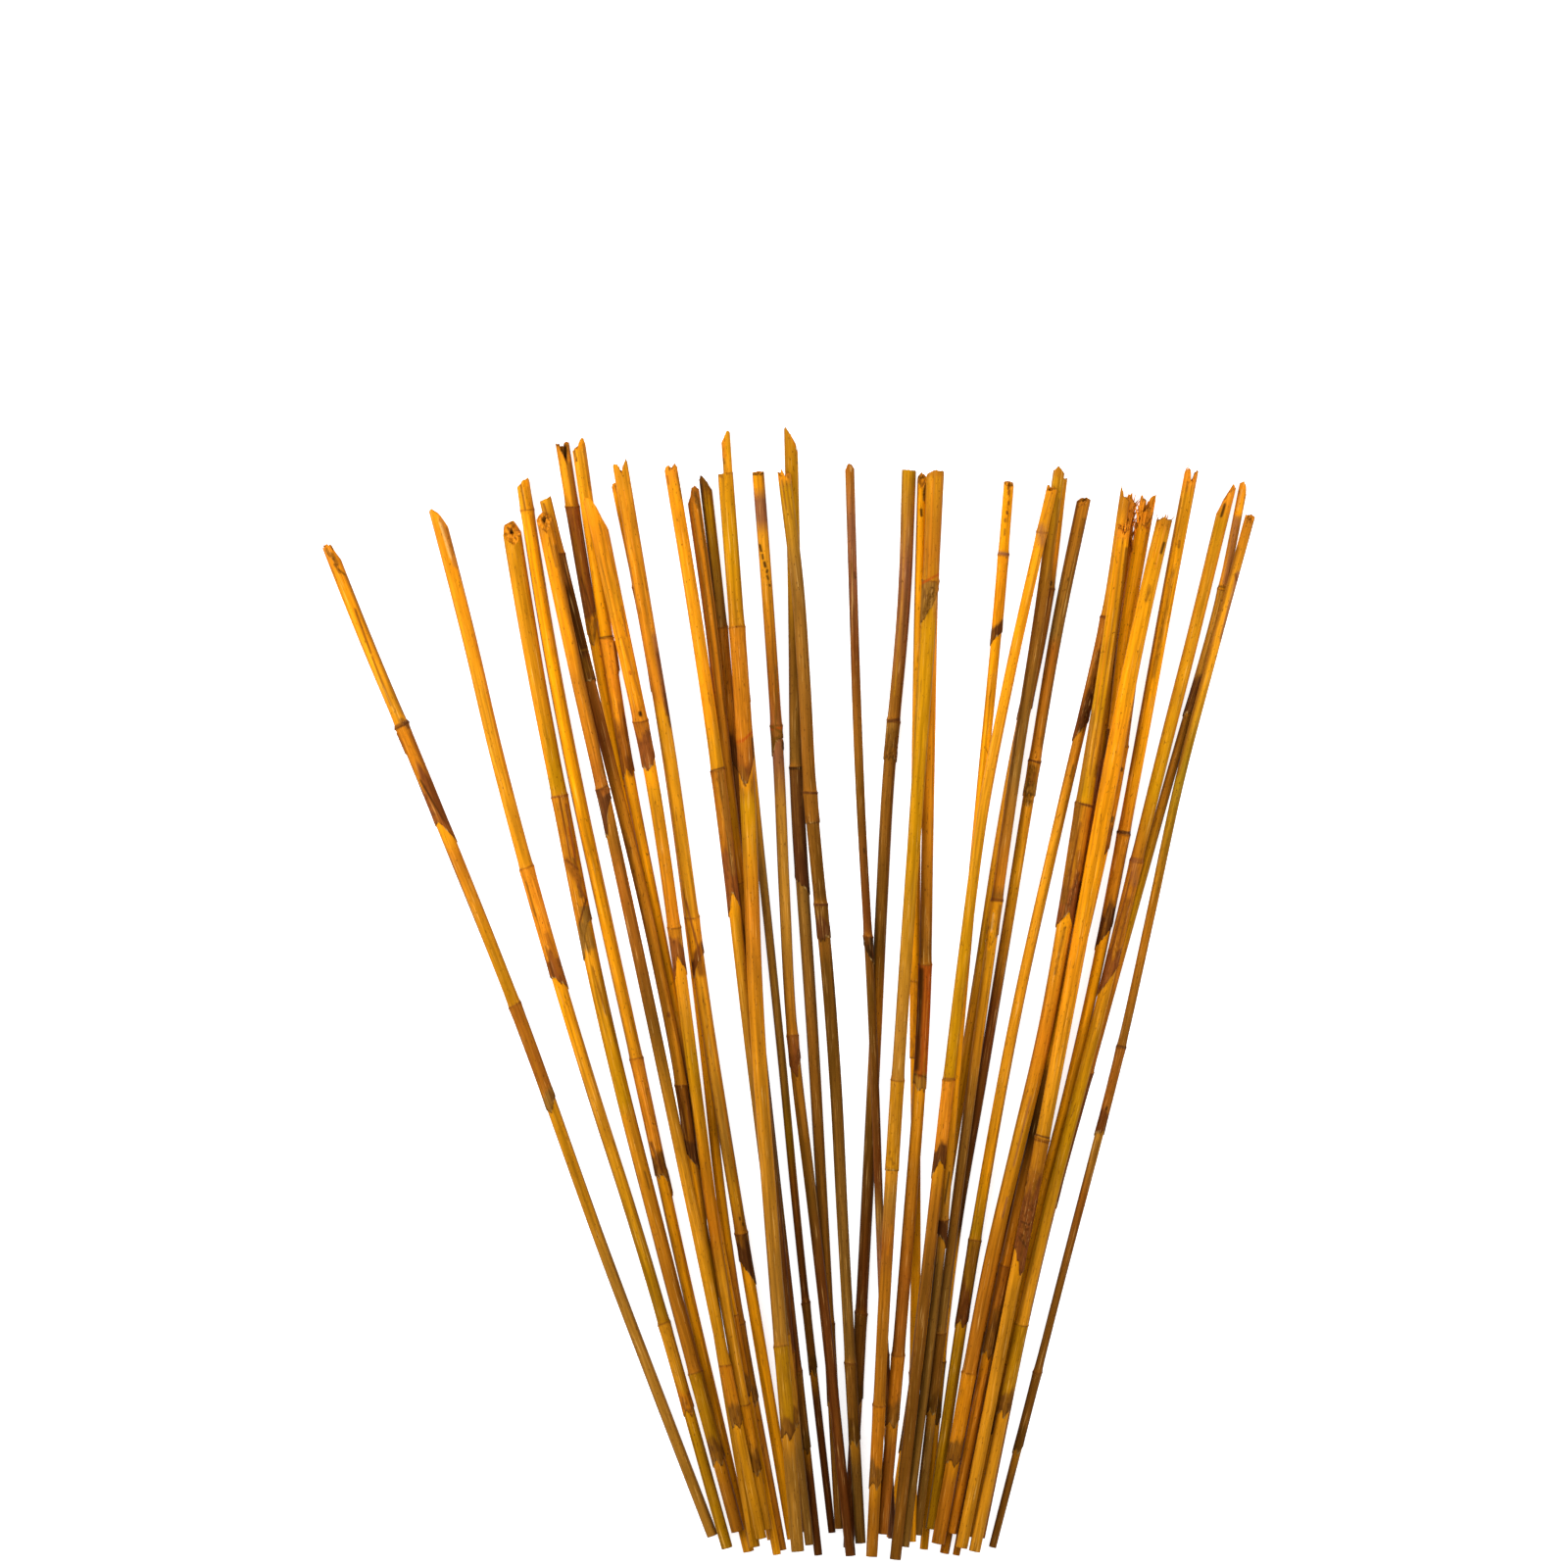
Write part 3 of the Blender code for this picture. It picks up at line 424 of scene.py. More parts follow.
        (Mark((550, 0.5), (540, 0.4), 1.2, "soot", 0.8, 0.5, 0.0, 0.6), Mark((535, -0.1), (532, 0.0), 1.2, "soot", 0.9)),
    ),
    "reed_23": Look(
        ((554, "ochre"), (512, "tan"), (472, "olive"), (360, "olive"), (272, "hay"), (184, "hay"), (160, "rust"),
         (144, "tan"), (10, "tan")),
        Tip(near=((-1, -1.5), (-0.4, 0), (-0.2, 1), (0.1, 1), (0.2, 0.3), (0.6, 0.3), (0.9, 1), (1, 0)), bore=0.5, depth=3,
            rag=0.9, stain=("tan", 3)),
        (Sheath("drab", "drab", 20, ((-1, -1), (-0.7, 0), (-0.3, 4), (0.2, 7), (0.7, 12), (1, 17)), 1.2, 0.0), Sheath("ochre", "ochre", 12, ((-1, 0), (1, 0)), 0.1, 0.8), Sheath("amber", "umber", 10)),
        (Mark((550, -0.3), (500, -0.3), 0.9, "pith", 0.5, 0.9), Mark((550, 0.8), (480, 0.8), 1.6, "tan", 0.7, 0.9),
         Mark((497, -0.95), (502, 0.95), 0.9, "ember", 0.9), Mark((494, 0.2), (482, -0.5), 2.6, "sepia", 0.6, 0.4, 0.0, 0.8), Mark((171, 0.5), (156, 0.1), 0.6, "amber", 0.7)),
    ),
    "reed_24": Look(
        ((541, "amber"), (416, "honey"), (312, "umber"), (240, "corn"), (144, "rust"), (10, "rust")),
        Tip(bore=0.5, rag=0.8),
        (Sheath("ember", "hay", 5, ((-1, -3), (-0.5, -5), (0, -8), (0.4, -6), (0.7, -9), (1, -5)), 1.8, 0.8), Sheath("amber", "umber", 10)),
        (Mark((300, -0.6), (250, -0.6), 2.6, "soot", 0.85, 0.8), Mark((247, -0.8), (246, 0.8), 0.8, "soot", 0.7)),
    ),
    "reed_25": Look(
        ((549, "gold"), (384, "gold"), (304, "tan"), (248, "gold"), (144, "drab"), (10, "drab")),
        Tip(near=((-1, -1), (-0.5, -3), (0, -5), (0.5, -4), (1, -2)), far=((-1, -0.5), (-0.5, 0.5), (0.6, 0), (1, -2)), bore=0.3,
            depth=2, rag=1.2, inside="umber"),
        (Sheath("honey", "bark", 9, ((-1, -5), (-0.5, -2), (0, 0), (0.5, 1), (1, 3)), 0.5, 0.5), Sheath("bark", "bark", 8, ((-1, 2), (-0.3, 0), (0.3, -1), (1, -5)), 0.6, 0.5)),
        (Mark((512.5, -1), (512.5, 1), 1.0, "mauve", 0.9, 0.3),
         Mark((545, 0.0), (530, 0.0), 3.0, "honey", 0.5, 0.5, -0.15, 0.5), Mark((545, 0.1), (543, 0.1), 0.9, "chestnut", 0.8), Mark((539, 0.2), (538, 0.3), 0.9, "chestnut", 0.7),
         Mark((534, 0.0), (533, 0.1), 1.0, "bark", 0.8), Mark((530, -0.2), (529, -0.2), 1.0, "umber", 0.8), Mark((525, -0.1), (522, -0.1), 0.8, "umber", 0.7),
         Mark((513, -0.7), (512, 0.7), 2.0, "mauve", 0.6, 0.8), Mark((197, 0.3), (182, -0.1), 0.6, "soot", 0.8)),
    ),
    "reed_26": Look(
        ((546, "corn"), (472, "gold"), (416, "straw"), (304, "olive"), (248, "olive"), (184, "tan"), (144, "umber"),
         (10, "umber")),
        Tip(near=((-1, -2), (-0.3, -2.5), (0.3, -1), (1, -1)), far=((-1, 0), (-0.3, 0.5), (1, 0)), bore=0.5, depth=4, rag=1.4,
            stain=("honey", 4)),
        (None, Sheath("pith", "bark", 12, ((-1, -6), (-0.6, -2), (0, 4), (0.5, 2), (1, -1)), 0.9, 0.6)),
        (Mark((245, -1), (245.5, 1), 0.9, "russet", 0.7, 0.3),
         Mark((525, -0.4), (518, 0.4), 3.6, "mauve", 0.7, 1.2), Mark((545, 0.1), (530, -0.1), 0.6, "rust", 0.6),
         Mark((500, 0.7), (380, 0.8), 0.9, "amber", 0.6, 0.8)),
    ),
    "reed_27": Look(
        ((556, "olive"), (488, "umber"), (400, "drab"), (344, "caramel"), (338, "umber"), (332, "corn"),
         (304, "ochre"), (264, "corn"), (224, "drab"), (176, "umber"), (144, "drab"), (10, "drab")),
        Tip(near=((-1, -2.5), (-0.5, -1), (-0.3, 0.5), (0.3, -0.5), (1, -3.5)), bore=0.4, depth=3, rag=1.2,
            stain=("tan", 6)),
        (Sheath("corn", "ochre", 10, ((-1, -1), (-0.5, 1), (0, -2), (0.5, 2), (1, 4)), 0.8, 0.2), Sheath("umber", "sepia", 10)),
        (Mark((336, -1), (336, 1), 1.6, "chestnut", 0.8, 0.4),
         Mark((333, 0.6), (318, 0.8), 1.6, "umber", 0.8, 0.8), Mark((330, -0.35), (311, -0.3), 1.6, "gold", 0.9, 0.5, 0.0, 0.4), Mark((329, -0.3), (320, -0.3), 0.8, "cream", 0.5), Mark((540, 0.6), (500, 0.6), 1.2, "sepia", 0.6, 0.9)),
    ),
    "reed_28": Look(
        ((551, "corn"), (512, "amber"), (496, "umber"), (368, "straw"), (312, "olive"), (280, "straw"),
         (248, "ochre"), (208, "gold"), (10, "gold")),
        Tip(bore=0.5, rag=0.8),
        (Sheath("chestnut", "chestnut", 10, ((-1, -3), (-0.3, 1), (0.3, -2), (1, 3)), 2.4, 0.5), Sheath("umber", "sepia", 10)),
        (Mark((495, -1), (495, 1), 1.0, "bark", 0.6, 0.3),
         Mark((498, 0.2), (497, 0.2), 1.6, "soot", 0.8),),
    ),
    "reed_29": Look(
        ((541, "tan"), (472, "drab"), (464, "rust"), (416, "caramel"), (352, "ochre"), (280, "chestnut"),
         (168, "hollow"), (152, "gold"), (10, "gold")),
        Tip(near=((-1, -3.5), (-0.5, -5), (0, -4.5), (0.5, -2.5), (1, -1)), far=((-1, -3), (-0.4, 0), (0.2, -0.3), (0.7, 0), (1, -1)),
            bore=0.5, depth=5, rag=0.9, inside="sepia"),
        (Sheath("tan", "hay", 8, ((-1, 0), (1, 0)), 1.8, 0.3), Sheath("umber", "sepia", 10)),
        (Mark((407, -1), (406, 1), 1.0, "bark", 0.8, 0.3),
         # The long sepia strip down the right side is painted shade of that side.
         Mark((530, 0.75), (415, 0.8), 2.2, "sepia", 0.7, 0.9), Mark((403, -0.1), (386, 0.0), 4.0, "sepia", 0.65, 0.6, 0.0, 0.8), Mark((401, 0.3), (394, -0.1), 0.7, "chestnut", 0.7),
         Mark((500, 0.1), (499, 0.1), 0.6, "soot", 0.6)),
    ),
    "reed_30": Look(
        ((542, "straw"), (416, "caramel"), (368, "straw"), (280, "corn"), (240, "straw"), (200, "gold"),
         (168, "olive"), (10, "olive")),
        Tip(near=((-1, 3), (-0.8, 4), (-0.4, 0), (0, -1.5), (1, -2)), bore=0.6, depth=6, rag=0.9, inside="rust",
            stain=("tan", 12), fringe=((165, 2, 5, 1.3, 0.25, "olive"), (30, -3, 6, 1.1, 0.3, "pith"), (60, -3, 5, 1.0, 0.2, "caramel"))),
        (Sheath("rust", "chestnut", 24, ((-1, -2), (-0.5, 1), (0, 4), (0.5, 7), (1, 9)), 1.8, 0.3), Sheath("umber", "chestnut", 20)),
        (Mark((480, -1), (480, 1), 1.2, "chestnut", 0.8, 0.3),
         Mark((405, 0.2), (398, 0.2), 0.9, "sepia", 0.7), Mark((462, 0.2), (423, 0.0), 3.4, "soot", 0.5, 0.5, 0.0, 0.9)),
    ),
    "reed_31": Look(
        ((524, "gold"), (432, "olive"), (416, "straw"), (392, "olive"), (320, "corn"), (264, "amber"), (216, "ochre"),
         (144, "caramel"), (10, "caramel")),
        Tip(near=((-1, 1), (-0.4, -1), (0.1, -2), (1, 1)), far=((-1, 3), (1, 3)), bore=0.4, depth=3, rag=1.6,
            inside="rust", stain=("pith", 6),
            fringe=((50, -1, 8, 1.1, 0.1, "caramel"), (80, -1, 7, 1.0, 0.15, "pith"), (110, 0, 6, 1.0, 0.1, "amber"),
                    (20, 0, 9, 1.0, 0.15, "pith"))),
        (Sheath("caramel", "russet", 20, ((-1, -6), (-0.5, -1.5), (0, 1.5), (0.3, 3), (0.6, -1), (1, -5)), 1.6, 0.9, -0.2), Sheath("honey", "umber", 10)),
        (Mark((385, -1), (384, 1), 1.0, "bark", 0.8, 0.3),
         Mark((383, -0.6), (335, -0.6), 3.0, "umber", 0.75, 0.7, 0.0, 0.3), Mark((360, 0.3), (332, 0.4), 2.4, "russet", 0.6, 0.8, 0.0, 0.4),
         Mark((375, -0.1), (342, -0.4), 0.9, "chestnut", 0.8), Mark((350, 0.6), (333, 0.1), 0.9, "bark", 0.8),
         Mark((322, 0.0), (298, -0.2), 1.2, "umber", 0.6, 0.6, 0.0, 0.8), Mark((520, 0.0), (400, 0.1), 0.7, "umber", 0.7), Mark((515, 0.75), (400, 0.8), 1.6, "sepia", 0.75, 0.8),
         Mark((515, -0.4), (430, -0.4), 0.5, "amber", 0.7), Mark((431, -0.8), (366, -0.75), 2.0, "umber", 0.7, 0.7),
         Mark((235, 0.1), (200, 0.0), 0.7, "mauve", 0.7), Mark((185, 0.2), (175, 0.2), 0.7, "mauve", 0.7)),
    ),
    "reed_32": Look(
        ((541, "caramel"), (528, "rust"), (512, "gold"), (496, "gold"), (456, "sepia"), (416, "corn"), (400, "mauve"),
         (352, "caramel"), (176, "chestnut"), (152, "amber"), (10, "amber")),
        Tip(near=((-1, -1), (-0.3, 1), (0.3, 1), (0.6, -2), (1, -3)), bore=0.4, rag=2.2, inside="rust", stain=("pith", 12),
            fringe=((30, -3, 7, 1.2, 0.25, "pith"), (75, -2, 5, 1.1, 0.1, "caramel"), (110, -4, 7, 1.0, 0.1, "pith"),
                    (150, -3, 6, 1.0, 0.25, "amber"),
                    (25, -9, 9, 3.0, 0.5, "pith"), (38, -7, 7, 2.6, 0.6, "caramel"), (30, -13, 9, 3.0, 0.5, "rust"),
                    (20, -17, 9, 2.6, 0.4, "pith"), (50, -11, 8, 2.4, 0.4, "amber"),
                    (30, -24, 11, 3.2, 0.4, "tan"), (22, -30, 12, 3.2, 0.3, "caramel"))),
        (Sheath("umber", "sepia", 10), Sheath("umber", "sepia", 10)),
        (Mark((345, -1), (345, 1), 1.0, "chestnut", 0.7, 0.3),
         Mark((540, 0.0), (524, 0.0), 6.0, "pith", 0.8, 0.5, 0.2, 0.9),),
    ),
    "reed_33": Look(
        # The dark band from 248 to 184 mm, darkest at 216, is painted shade where this reed lies low in the gap between
        # its neighbours.
        ((539, "gold"), (256, "gold"), (248, "umber"), (216, "hollow"), (184, "caramel"), (152, "amber"),
         (10, "amber")),
        Tip(near=((-1, -13), (-0.5, -14), (0, -15), (0.5, -13), (0.9, -9), (1, -6)),
            far=((-1, 1), (-0.7, 2.5), (-0.4, 1.5), (-0.2, -4), (0.2, -1), (0.7, 1.5), (1, 5)), bore=0.35, depth=3, rag=3.0,
            inside="rust", stain=("pith", 14), fringe=((10, -4, 8, 0.8, 0.25, "pith"), (150, -3, 7, 0.9, 0.15, "pith"), (60, -11, 9, 1.2, 0.2, "caramel"),
                    (90, -13, 8, 1.2, 0.25, "pith"), (120, -12, 10, 1.1, 0.15, "amber"), (40, -9, 8, 1.0, 0.2, "pith"),
                    (155, -12, 9, 3.0, 0.45, "pith"), (140, -9, 7, 2.6, 0.55, "caramel"), (160, -17, 9, 2.8, 0.4, "rust"),
                    (150, -21, 9, 2.6, 0.3, "pith"), (152, -28, 11, 3.2, 0.35, "tan"))),
        (Sheath("rust", "chestnut", 10), Sheath("rust", "umber", 20)),
        (Mark((422, -1), (422, 1), 0.8, "chestnut", 0.7, 0.3),
         Mark((530, -0.2), (529, 0.0), 1.4, "ember", 0.9), Mark((527, 0.3), (526, 0.5), 1.4, "ember", 0.9),
         Mark((445, 0.3), (436, -0.2), 0.5, "chestnut", 0.8), Mark((417, 0.0), (406, 0.3), 2.2, "sepia", 0.6, 0.6)),
    ),
    "reed_34": Look(
        ((529, "ochre"), (440, "gold"), (424, "honey"), (336, "gold"), (312, "honey"), (240, "straw"), (216, "ochre"),
         (144, "straw"), (10, "straw")),
        Tip(near=((-1, -1.5), (-0.4, 0), (0, 2), (0.3, -0.5), (0.8, 0.5), (1, 0)), bore=0.5, depth=4, rag=1.8,
            stain=("tan", 6), fringe=((20, -1, 4.5, 1.4, 0.5, "umber"), (75, -1, 4, 1.2, 0.1, "rust"), (110, -2, 4, 1.0, 0.2, "umber"), (160, -2, 4.5, 1.4, 0.5, "umber"))),
        (Sheath("tan", "russet", 40, ((-1, 9), (-0.5, 5), (0, 2), (0.4, -4), (0.6, -5), (1, -2)), 1.4, 0.9),),
        (Mark((518, 0.6), (513, 0.5), 1.3, "soot", 0.85), Mark((527, -0.4), (510, -0.3), 0.6, "amber", 0.7),
         Mark((526, 0.3), (505, 0.2), 0.5, "amber", 0.7), Mark((495, 0.1), (488, 0.0), 1.4, "umber", 0.6, 0.6, 0.0, 0.8),
         Mark((171, -0.3), (163, 0.2), 1.2, "umber", 0.7),
         Mark((195, 0.0), (165, 0.0), 8.0, "russet", 0.45, 0.8, 0.0, 0.9), Mark((172, -0.7), (171, 0.4), 0.7, "bark", 0.8),
         Mark((164, -0.6), (160, 0.6), 0.7, "bark", 0.8), Mark((216, -1), (215.5, 1), 0.8, "bark", 0.9, 0.3), Mark((213.5, -1), (213, 1), 0.6, "chestnut", 0.8)),
    ),
    "reed_35": Look(
        ((515, "rust"), (416, "rust"), (360, "gold"), (328, "amber"), (10, "amber")),
        Tip(bore=0.5, rag=0.8),
        (Sheath("amber", "rust", 12), Sheath("umber", "sepia", 10)),
        (Mark((428, 0.3), (427, 0.3), 1.2, "soot", 0.8), Mark((403, 0.3), (402, 0.3), 1.2, "soot", 0.8),
         Mark((378, 0.3), (376, 0.3), 1.2, "soot", 0.8)),
    ),
    "reed_36": Look(
        ((554, "ochre"), (472, "gold"), (400, "gold"), (376, "amber"), (296, "gold"), (10, "gold")),
        Tip(near=((-1, -1), (-0.8, 1), (-0.3, 1.5), (-0.1, -1), (0.1, -4.5), (0.6, -4.8), (0.7, 0.8), (1, 0.8)), bore=0.6,
            depth=5, rag=1.4, inside="rust", stain=("pith", 10),
            fringe=((150, -1, 6, 0.8, -0.2, "pith"), (120, -2, 5, 0.8, 0.4, "pith"), (165, 0, 7, 0.6, 0.35, "pith"),
                    (100, -3, 5, 0.9, 0.3, "amber"), (25, 0, 5.5, 1.0, -0.5, "caramel"), (155, 0, 6, 1.0, -0.45, "pith"), (15, -2, 5, 0.9, 0.25, "caramel"), (60, -4, 4, 0.8, 0.2, "pith"))),
        (Sheath("caramel", "bark", 20, ((-1, -5), (-0.5, -1), (0, 2), (0.5, 5), (1, 9)), 1.6, 0.5), Sheath("amber", "umber", 10)),
        (Mark((370, -1), (370.5, 1), 1.6, "bark", 0.95, 0.2),
         Mark((549, -0.3), (544, -0.2), 0.8, "umber", 0.6, 0.5, 0.0, 0.8), Mark((519, 0.1), (516, 0.2), 1.2, "umber", 0.7, 0.5, 0.0, 0.8),
         # The last umber strip, down the left side, is painted shade of that side.
         Mark((505, 0.0), (450, 0.0), 1.6, "umber", 0.5, 0.8, 0.0, 0.8), Mark((540, -0.85), (400, -0.85), 1.4, "umber", 0.7, 0.8)),
    ),
    "reed_37": Look(
        ((544, "gold"), (536, "olive"), (504, "straw"), (392, "olive"), (360, "tan"), (288, "corn"), (232, "olive"),
         (200, "olive"), (144, "straw"), (10, "straw")),
        Tip(near=((-1, -14), (-0.6, -9), (-0.2, -4), (0.2, -0.5), (0.6, 1.5), (1, 2)), far=((-1, -12), (-0.6, -7), (-0.2, -1.5), (0.2, 2.5), (0.6, 5), (1, 3)),
            bore=0.2, depth=5, rag=1.2, inside="ember", stain=("pith", 14)),
        (Sheath("caramel", "russet", 20, ((-1, -5), (-0.5, -1), (0, 3), (0.5, 7), (1, 12)), 0.7, 0.4), Sheath("olive", "umber", 10)),
        (Mark((356, -1), (356.5, 1), 2.0, "russet", 0.7, 0.5), Mark((350, -0.3), (305, -0.55), 0.9, "russet", 0.8),
         Mark((345, 0.5), (312, 0.3), 0.9, "russet", 0.7), Mark((335, 0.0), (308, -0.1), 4.0, "chestnut", 0.4, 0.8, 0.0, 0.6),
         Mark((537.5, -0.1), (531.5, -0.2), 1.3, "soot", 0.9), Mark((527, 0.8), (420, 0.85), 1.2, "amber", 0.5, 0.9),
         Mark((355, -0.4), (345, 0.4), 3.4, "mauve", 0.5, 0.9)),
    ),
    "reed_38": Look(
        ((549, "amber"), (528, "gold"), (496, "gold"), (424, "umber"), (392, "tan"), (328, "olive"), (304, "caramel"),
         (248, "rust"), (10, "rust")),
        Tip(near=((-1, -1), (-0.2, 0.8), (0.5, -1.5), (1, -6)), bore=0.3, depth=2, rag=0.6),
        (Sheath("hay", "bark", 18, ((-1, -2), (0, 0), (1, 3)), 1.6, 0.0), Sheath("chestnut", "chestnut", 14, ((-1, 2), (0, 0), (1, -4)), 1.6, 0.5)),
        (Mark((530, -0.2), (498, 0.2), 3.6, "mauve", 0.8, 0.8), Mark((495.5, -1), (495.5, 1), 1.2, "sepia", 0.8, 0.3), Mark((545, -0.3), (535, -0.3), 0.8, "cream", 0.3, 0.8)),
    ),
    "reed_39": Look(
        ((531, "caramel"), (496, "straw"), (464, "straw"), (400, "moss"), (328, "tan"), (264, "umber"), (208, "hay"),
         (184, "rust"), (144, "umber"), (10, "umber")),
        Tip(near=((-1, -1.5), (-0.4, -3), (0.4, -3.5), (0.8, -2), (1, 0)), far=((-1, 0), (0.2, 1), (1, 0.5)), bore=0.5, depth=4,
            rag=0.9, inside="tan"),
        (Sheath("rust", "chestnut", 12, ((-1, 1), (0, 2), (1, 3)), 2.0, 0.2), Sheath("umber", "sepia", 10)),
        (Mark((261, -1), (261, 1), 1.2, "bark", 0.85, 0.3),
         # The umber strip down the left side is painted shade of that side.
         Mark((515, -0.8), (400, -0.8), 1.8, "umber", 0.8, 0.8), Mark((503, 0.6), (470, 0.8), 1.6, "mauve", 0.8, 0.8), Mark((502, 0.2), (499, 0.8), 1.2, "chestnut", 0.7),
         Mark((230, 0.1), (229, 0.1), 1.0, "soot", 0.8), Mark((212, 0.0), (204, 0.2), 2.0, "umber", 0.7, 0.6)),
    ),
}
print("looks for", len(LOOKS), "reeds")

# %% [markdown]
# ## Noise that stays the same on every run
#
# Stains, torn fibres and streaks need numbers that look random but never change. A hash
# turns a whole-numbered place into a number from 0 to 1, and the cloud between those places
# is a smooth mix of the eight around it.

# %% Make a repeatable cloud
def hashed(cell, seed):
    """A fixed number from 0 to 1 for each whole-numbered place (x, y, z)."""
    n = (cell[..., 0] * 73856093 ^ cell[..., 1] * 19349663 ^ cell[..., 2] * 83492791 ^ seed * 2654435) & 0x7FFFFFFF
    n = (n ^ (n >> 13)) * 1274126177 & 0x7FFFFFFF
    n = (n ^ (n >> 11)) * 97 & 0x7FFFFFFF
    return (n & 0xFFFF) / 0xFFFF


def cloud(place, seed):
    """Smooth noise from 0 to 1: the hashed numbers at a cell's eight corners, eased together."""
    cell = np.floor(place).astype(np.int64)
    part = place - cell
    part = part * part * (3 - 2 * part)
    total = np.zeros(place.shape[:-1])
    for corner in np.ndindex(2, 2, 2):
        weight = np.where(corner, part, 1 - part).prod(axis=-1)
        total += weight * hashed(cell + corner, seed)
    return total


def ease(value, low, high):
    """0 below low, 1 above high, and a smooth S between them."""
    share = np.clip((value - low) / (high - low), 0, 1)
    return share * share * (3 - 2 * share)


print("cloud from", cloud(np.random.default_rng(1).random((1000, 3)) * 50, 1).min().round(2))

# %% [markdown]
# ## The fine surface of a culm
#
# Each culm is one closed surface on a grid: rows run along the culm and columns run round
# it. The rows stand close together at the cut, at nodes, at hems and at small marks, and far
# apart on plain culm. The columns are closer on the upper side, which is seen most.
#
# A ragged hem could be cut into a fixed grid, but then its edge would be a staircase. Here the
# rows themselves bend to follow the hem, so the edge between sheath and culm stays sharp
# with few faces.

# %% Place the rows and columns
TURNS = np.radians(np.concatenate([np.arange(0, 181, 7.5), np.arange(194, 351, 13.8)]))
PLAIN_ROW = 3.7           # spacing of the rows on plain culm
ROW_GROWTH = 0.16         # how fast the spacing grows away from a detail
HEM_STEP = 0.12           # half the length of the step at a hem


def place_rows(culm, look):
    """Heights of the rows: closest at details, with a pair of rows at each hem.

    The number of rows per millimetre is one over the wanted spacing. Its running sum counts
    the rows, and the heights are read off where that sum is a whole number.
    """
    details = [(culm.tip, 9, 0.45), (culm.foot, 2, 0.7)]
    details += [(node, 1.6, 0.4) for node, _ in culm.joints]
    details += [(hem, 4, 0.5) for _, hem in culm.joints if hem]
    bends = [(hem, 0.6 * max(abs(height) for _, height in sheath.edge))
             for (_, hem), sheath in zip(culm.joints, look.sheaths) if hem]
    for mark in look.marks:
        length = abs(mark.start[0] - mark.end[0])
        middle = (mark.start[0] + mark.end[0]) / 2
        bend = max([0.0] + [size for hem, size in bends if abs(middle - hem) < 30])
        details.append((middle, length / 2 + 1 + bend, 0.5 if length < 6 else 1.2 if length < 30 else 2.0))
    t = np.arange(culm.foot, culm.tip, 0.1)
    spacing = np.full_like(t, PLAIN_ROW)
    for place, half, fine in details:
        spacing = np.minimum(spacing, fine + ROW_GROWTH * np.clip(np.abs(t - place) - half, 0, None))
    count = np.cumsum(0.1 / spacing)
    rows = np.interp(np.linspace(0, count[-1], int(count[-1]) + 1), count, t)
    for _, hem in culm.joints:
        if hem:
            rows = rows[np.abs(rows - hem) > 2 * HEM_STEP]
            rows = np.append(rows, (hem - HEM_STEP, hem + HEM_STEP))
    rows = np.sort(rows)
    rows[0] = culm.foot
    rows[-1] = culm.tip
    return rows


rows = {name: place_rows(culm, LOOKS[name]) for name, culm in culms.items()}
print("rows:", sum(map(len, rows.values())), "triangles:", sum(map(len, rows.values())) * len(TURNS) * 2)


# %% Shape the torn hems and the cut
def around(angle, at):
    """Distance in radians from one angle to another, the short way round."""
    return np.abs((angle - at + math.pi) % (2 * math.pi) - math.pi)


def hem_line(sheath, seed):
    """How far a hem stands above its middle height at each column.

    The outline is read at the cosine of the angle, which is the place across the culm, and
    the papery edge is torn into teeth that differ from column to column.
    """
    outline = np.interp(np.cos(TURNS), *zip(*sheath.edge))
    place = np.stack([np.cos(TURNS) * 4, np.sin(TURNS) * 4, np.zeros_like(TURNS)], axis=1)
    teeth = (cloud(place, seed) - 0.5) + (cloud(place * 3.1, seed + 1) - 0.5) * 1.4
    return outline + sheath.rag * teeth


def cut_line(tip, seed):
    """How far the rim of the cut stands above its middle height at each column.

    The upper half of the rim follows the near outline and the lower half the far one, and
    both are read at the cosine of the angle, which is the place across the culm. Torn fibres
    add fine teeth.
    """
    side = np.cos(TURNS)
    near = np.interp(side, *zip(*tip.near))
    far = np.interp(side, *zip(*(tip.far or tip.near)))
    rim = far + (near - far) * ease(np.sin(TURNS), -0.15, 0.15)
    place = np.stack([np.cos(TURNS) * 6, np.sin(TURNS) * 6, np.zeros_like(TURNS)], axis=1)
    return rim + tip.rag * ((cloud(place, seed) - 0.5) + (cloud(place * 2.7, seed + 1) - 0.5))


def bend_rows(t, places):
    """Each row's real height at each column, after the rows bend to the hems and the cut.

    A row at a hem moves by the hem's line, and its neighbours move less the further they
    are, down to nothing at the given reach.
    """
    y = np.repeat(t[:, None], len(TURNS), axis=1)
    for place, line, reach in places:
        tent = np.clip(1 - np.abs(t - place) / reach, 0, None)
        y += tent[:, None] * np.clip(line, -0.85 * reach, 0.85 * reach)
    return y


# %% Work out the axis and the skin's radius
def smooth_curve(knots, values, at):
    """A cubic between knots that leaves each with the slope that its neighbours give."""
    slopes = np.gradient(values, knots)
    i = np.clip(np.searchsorted(knots, at) - 1, 0, len(knots) - 2)
    step = knots[i + 1] - knots[i]
    s = (at - knots[i]) / step
    inside = np.clip(s, 0, 1)
    curve = ((2 * inside**3 - 3 * inside**2 + 1) * values[i]
             + (inside**3 - 2 * inside**2 + inside) * step * slopes[i]
             + (3 * inside**2 - 2 * inside**3) * values[i + 1]
             + (inside**3 - inside**2) * step * slopes[i + 1])
    return curve + (s - inside) * step * np.where(s > 1, slopes[i + 1], slopes[i])


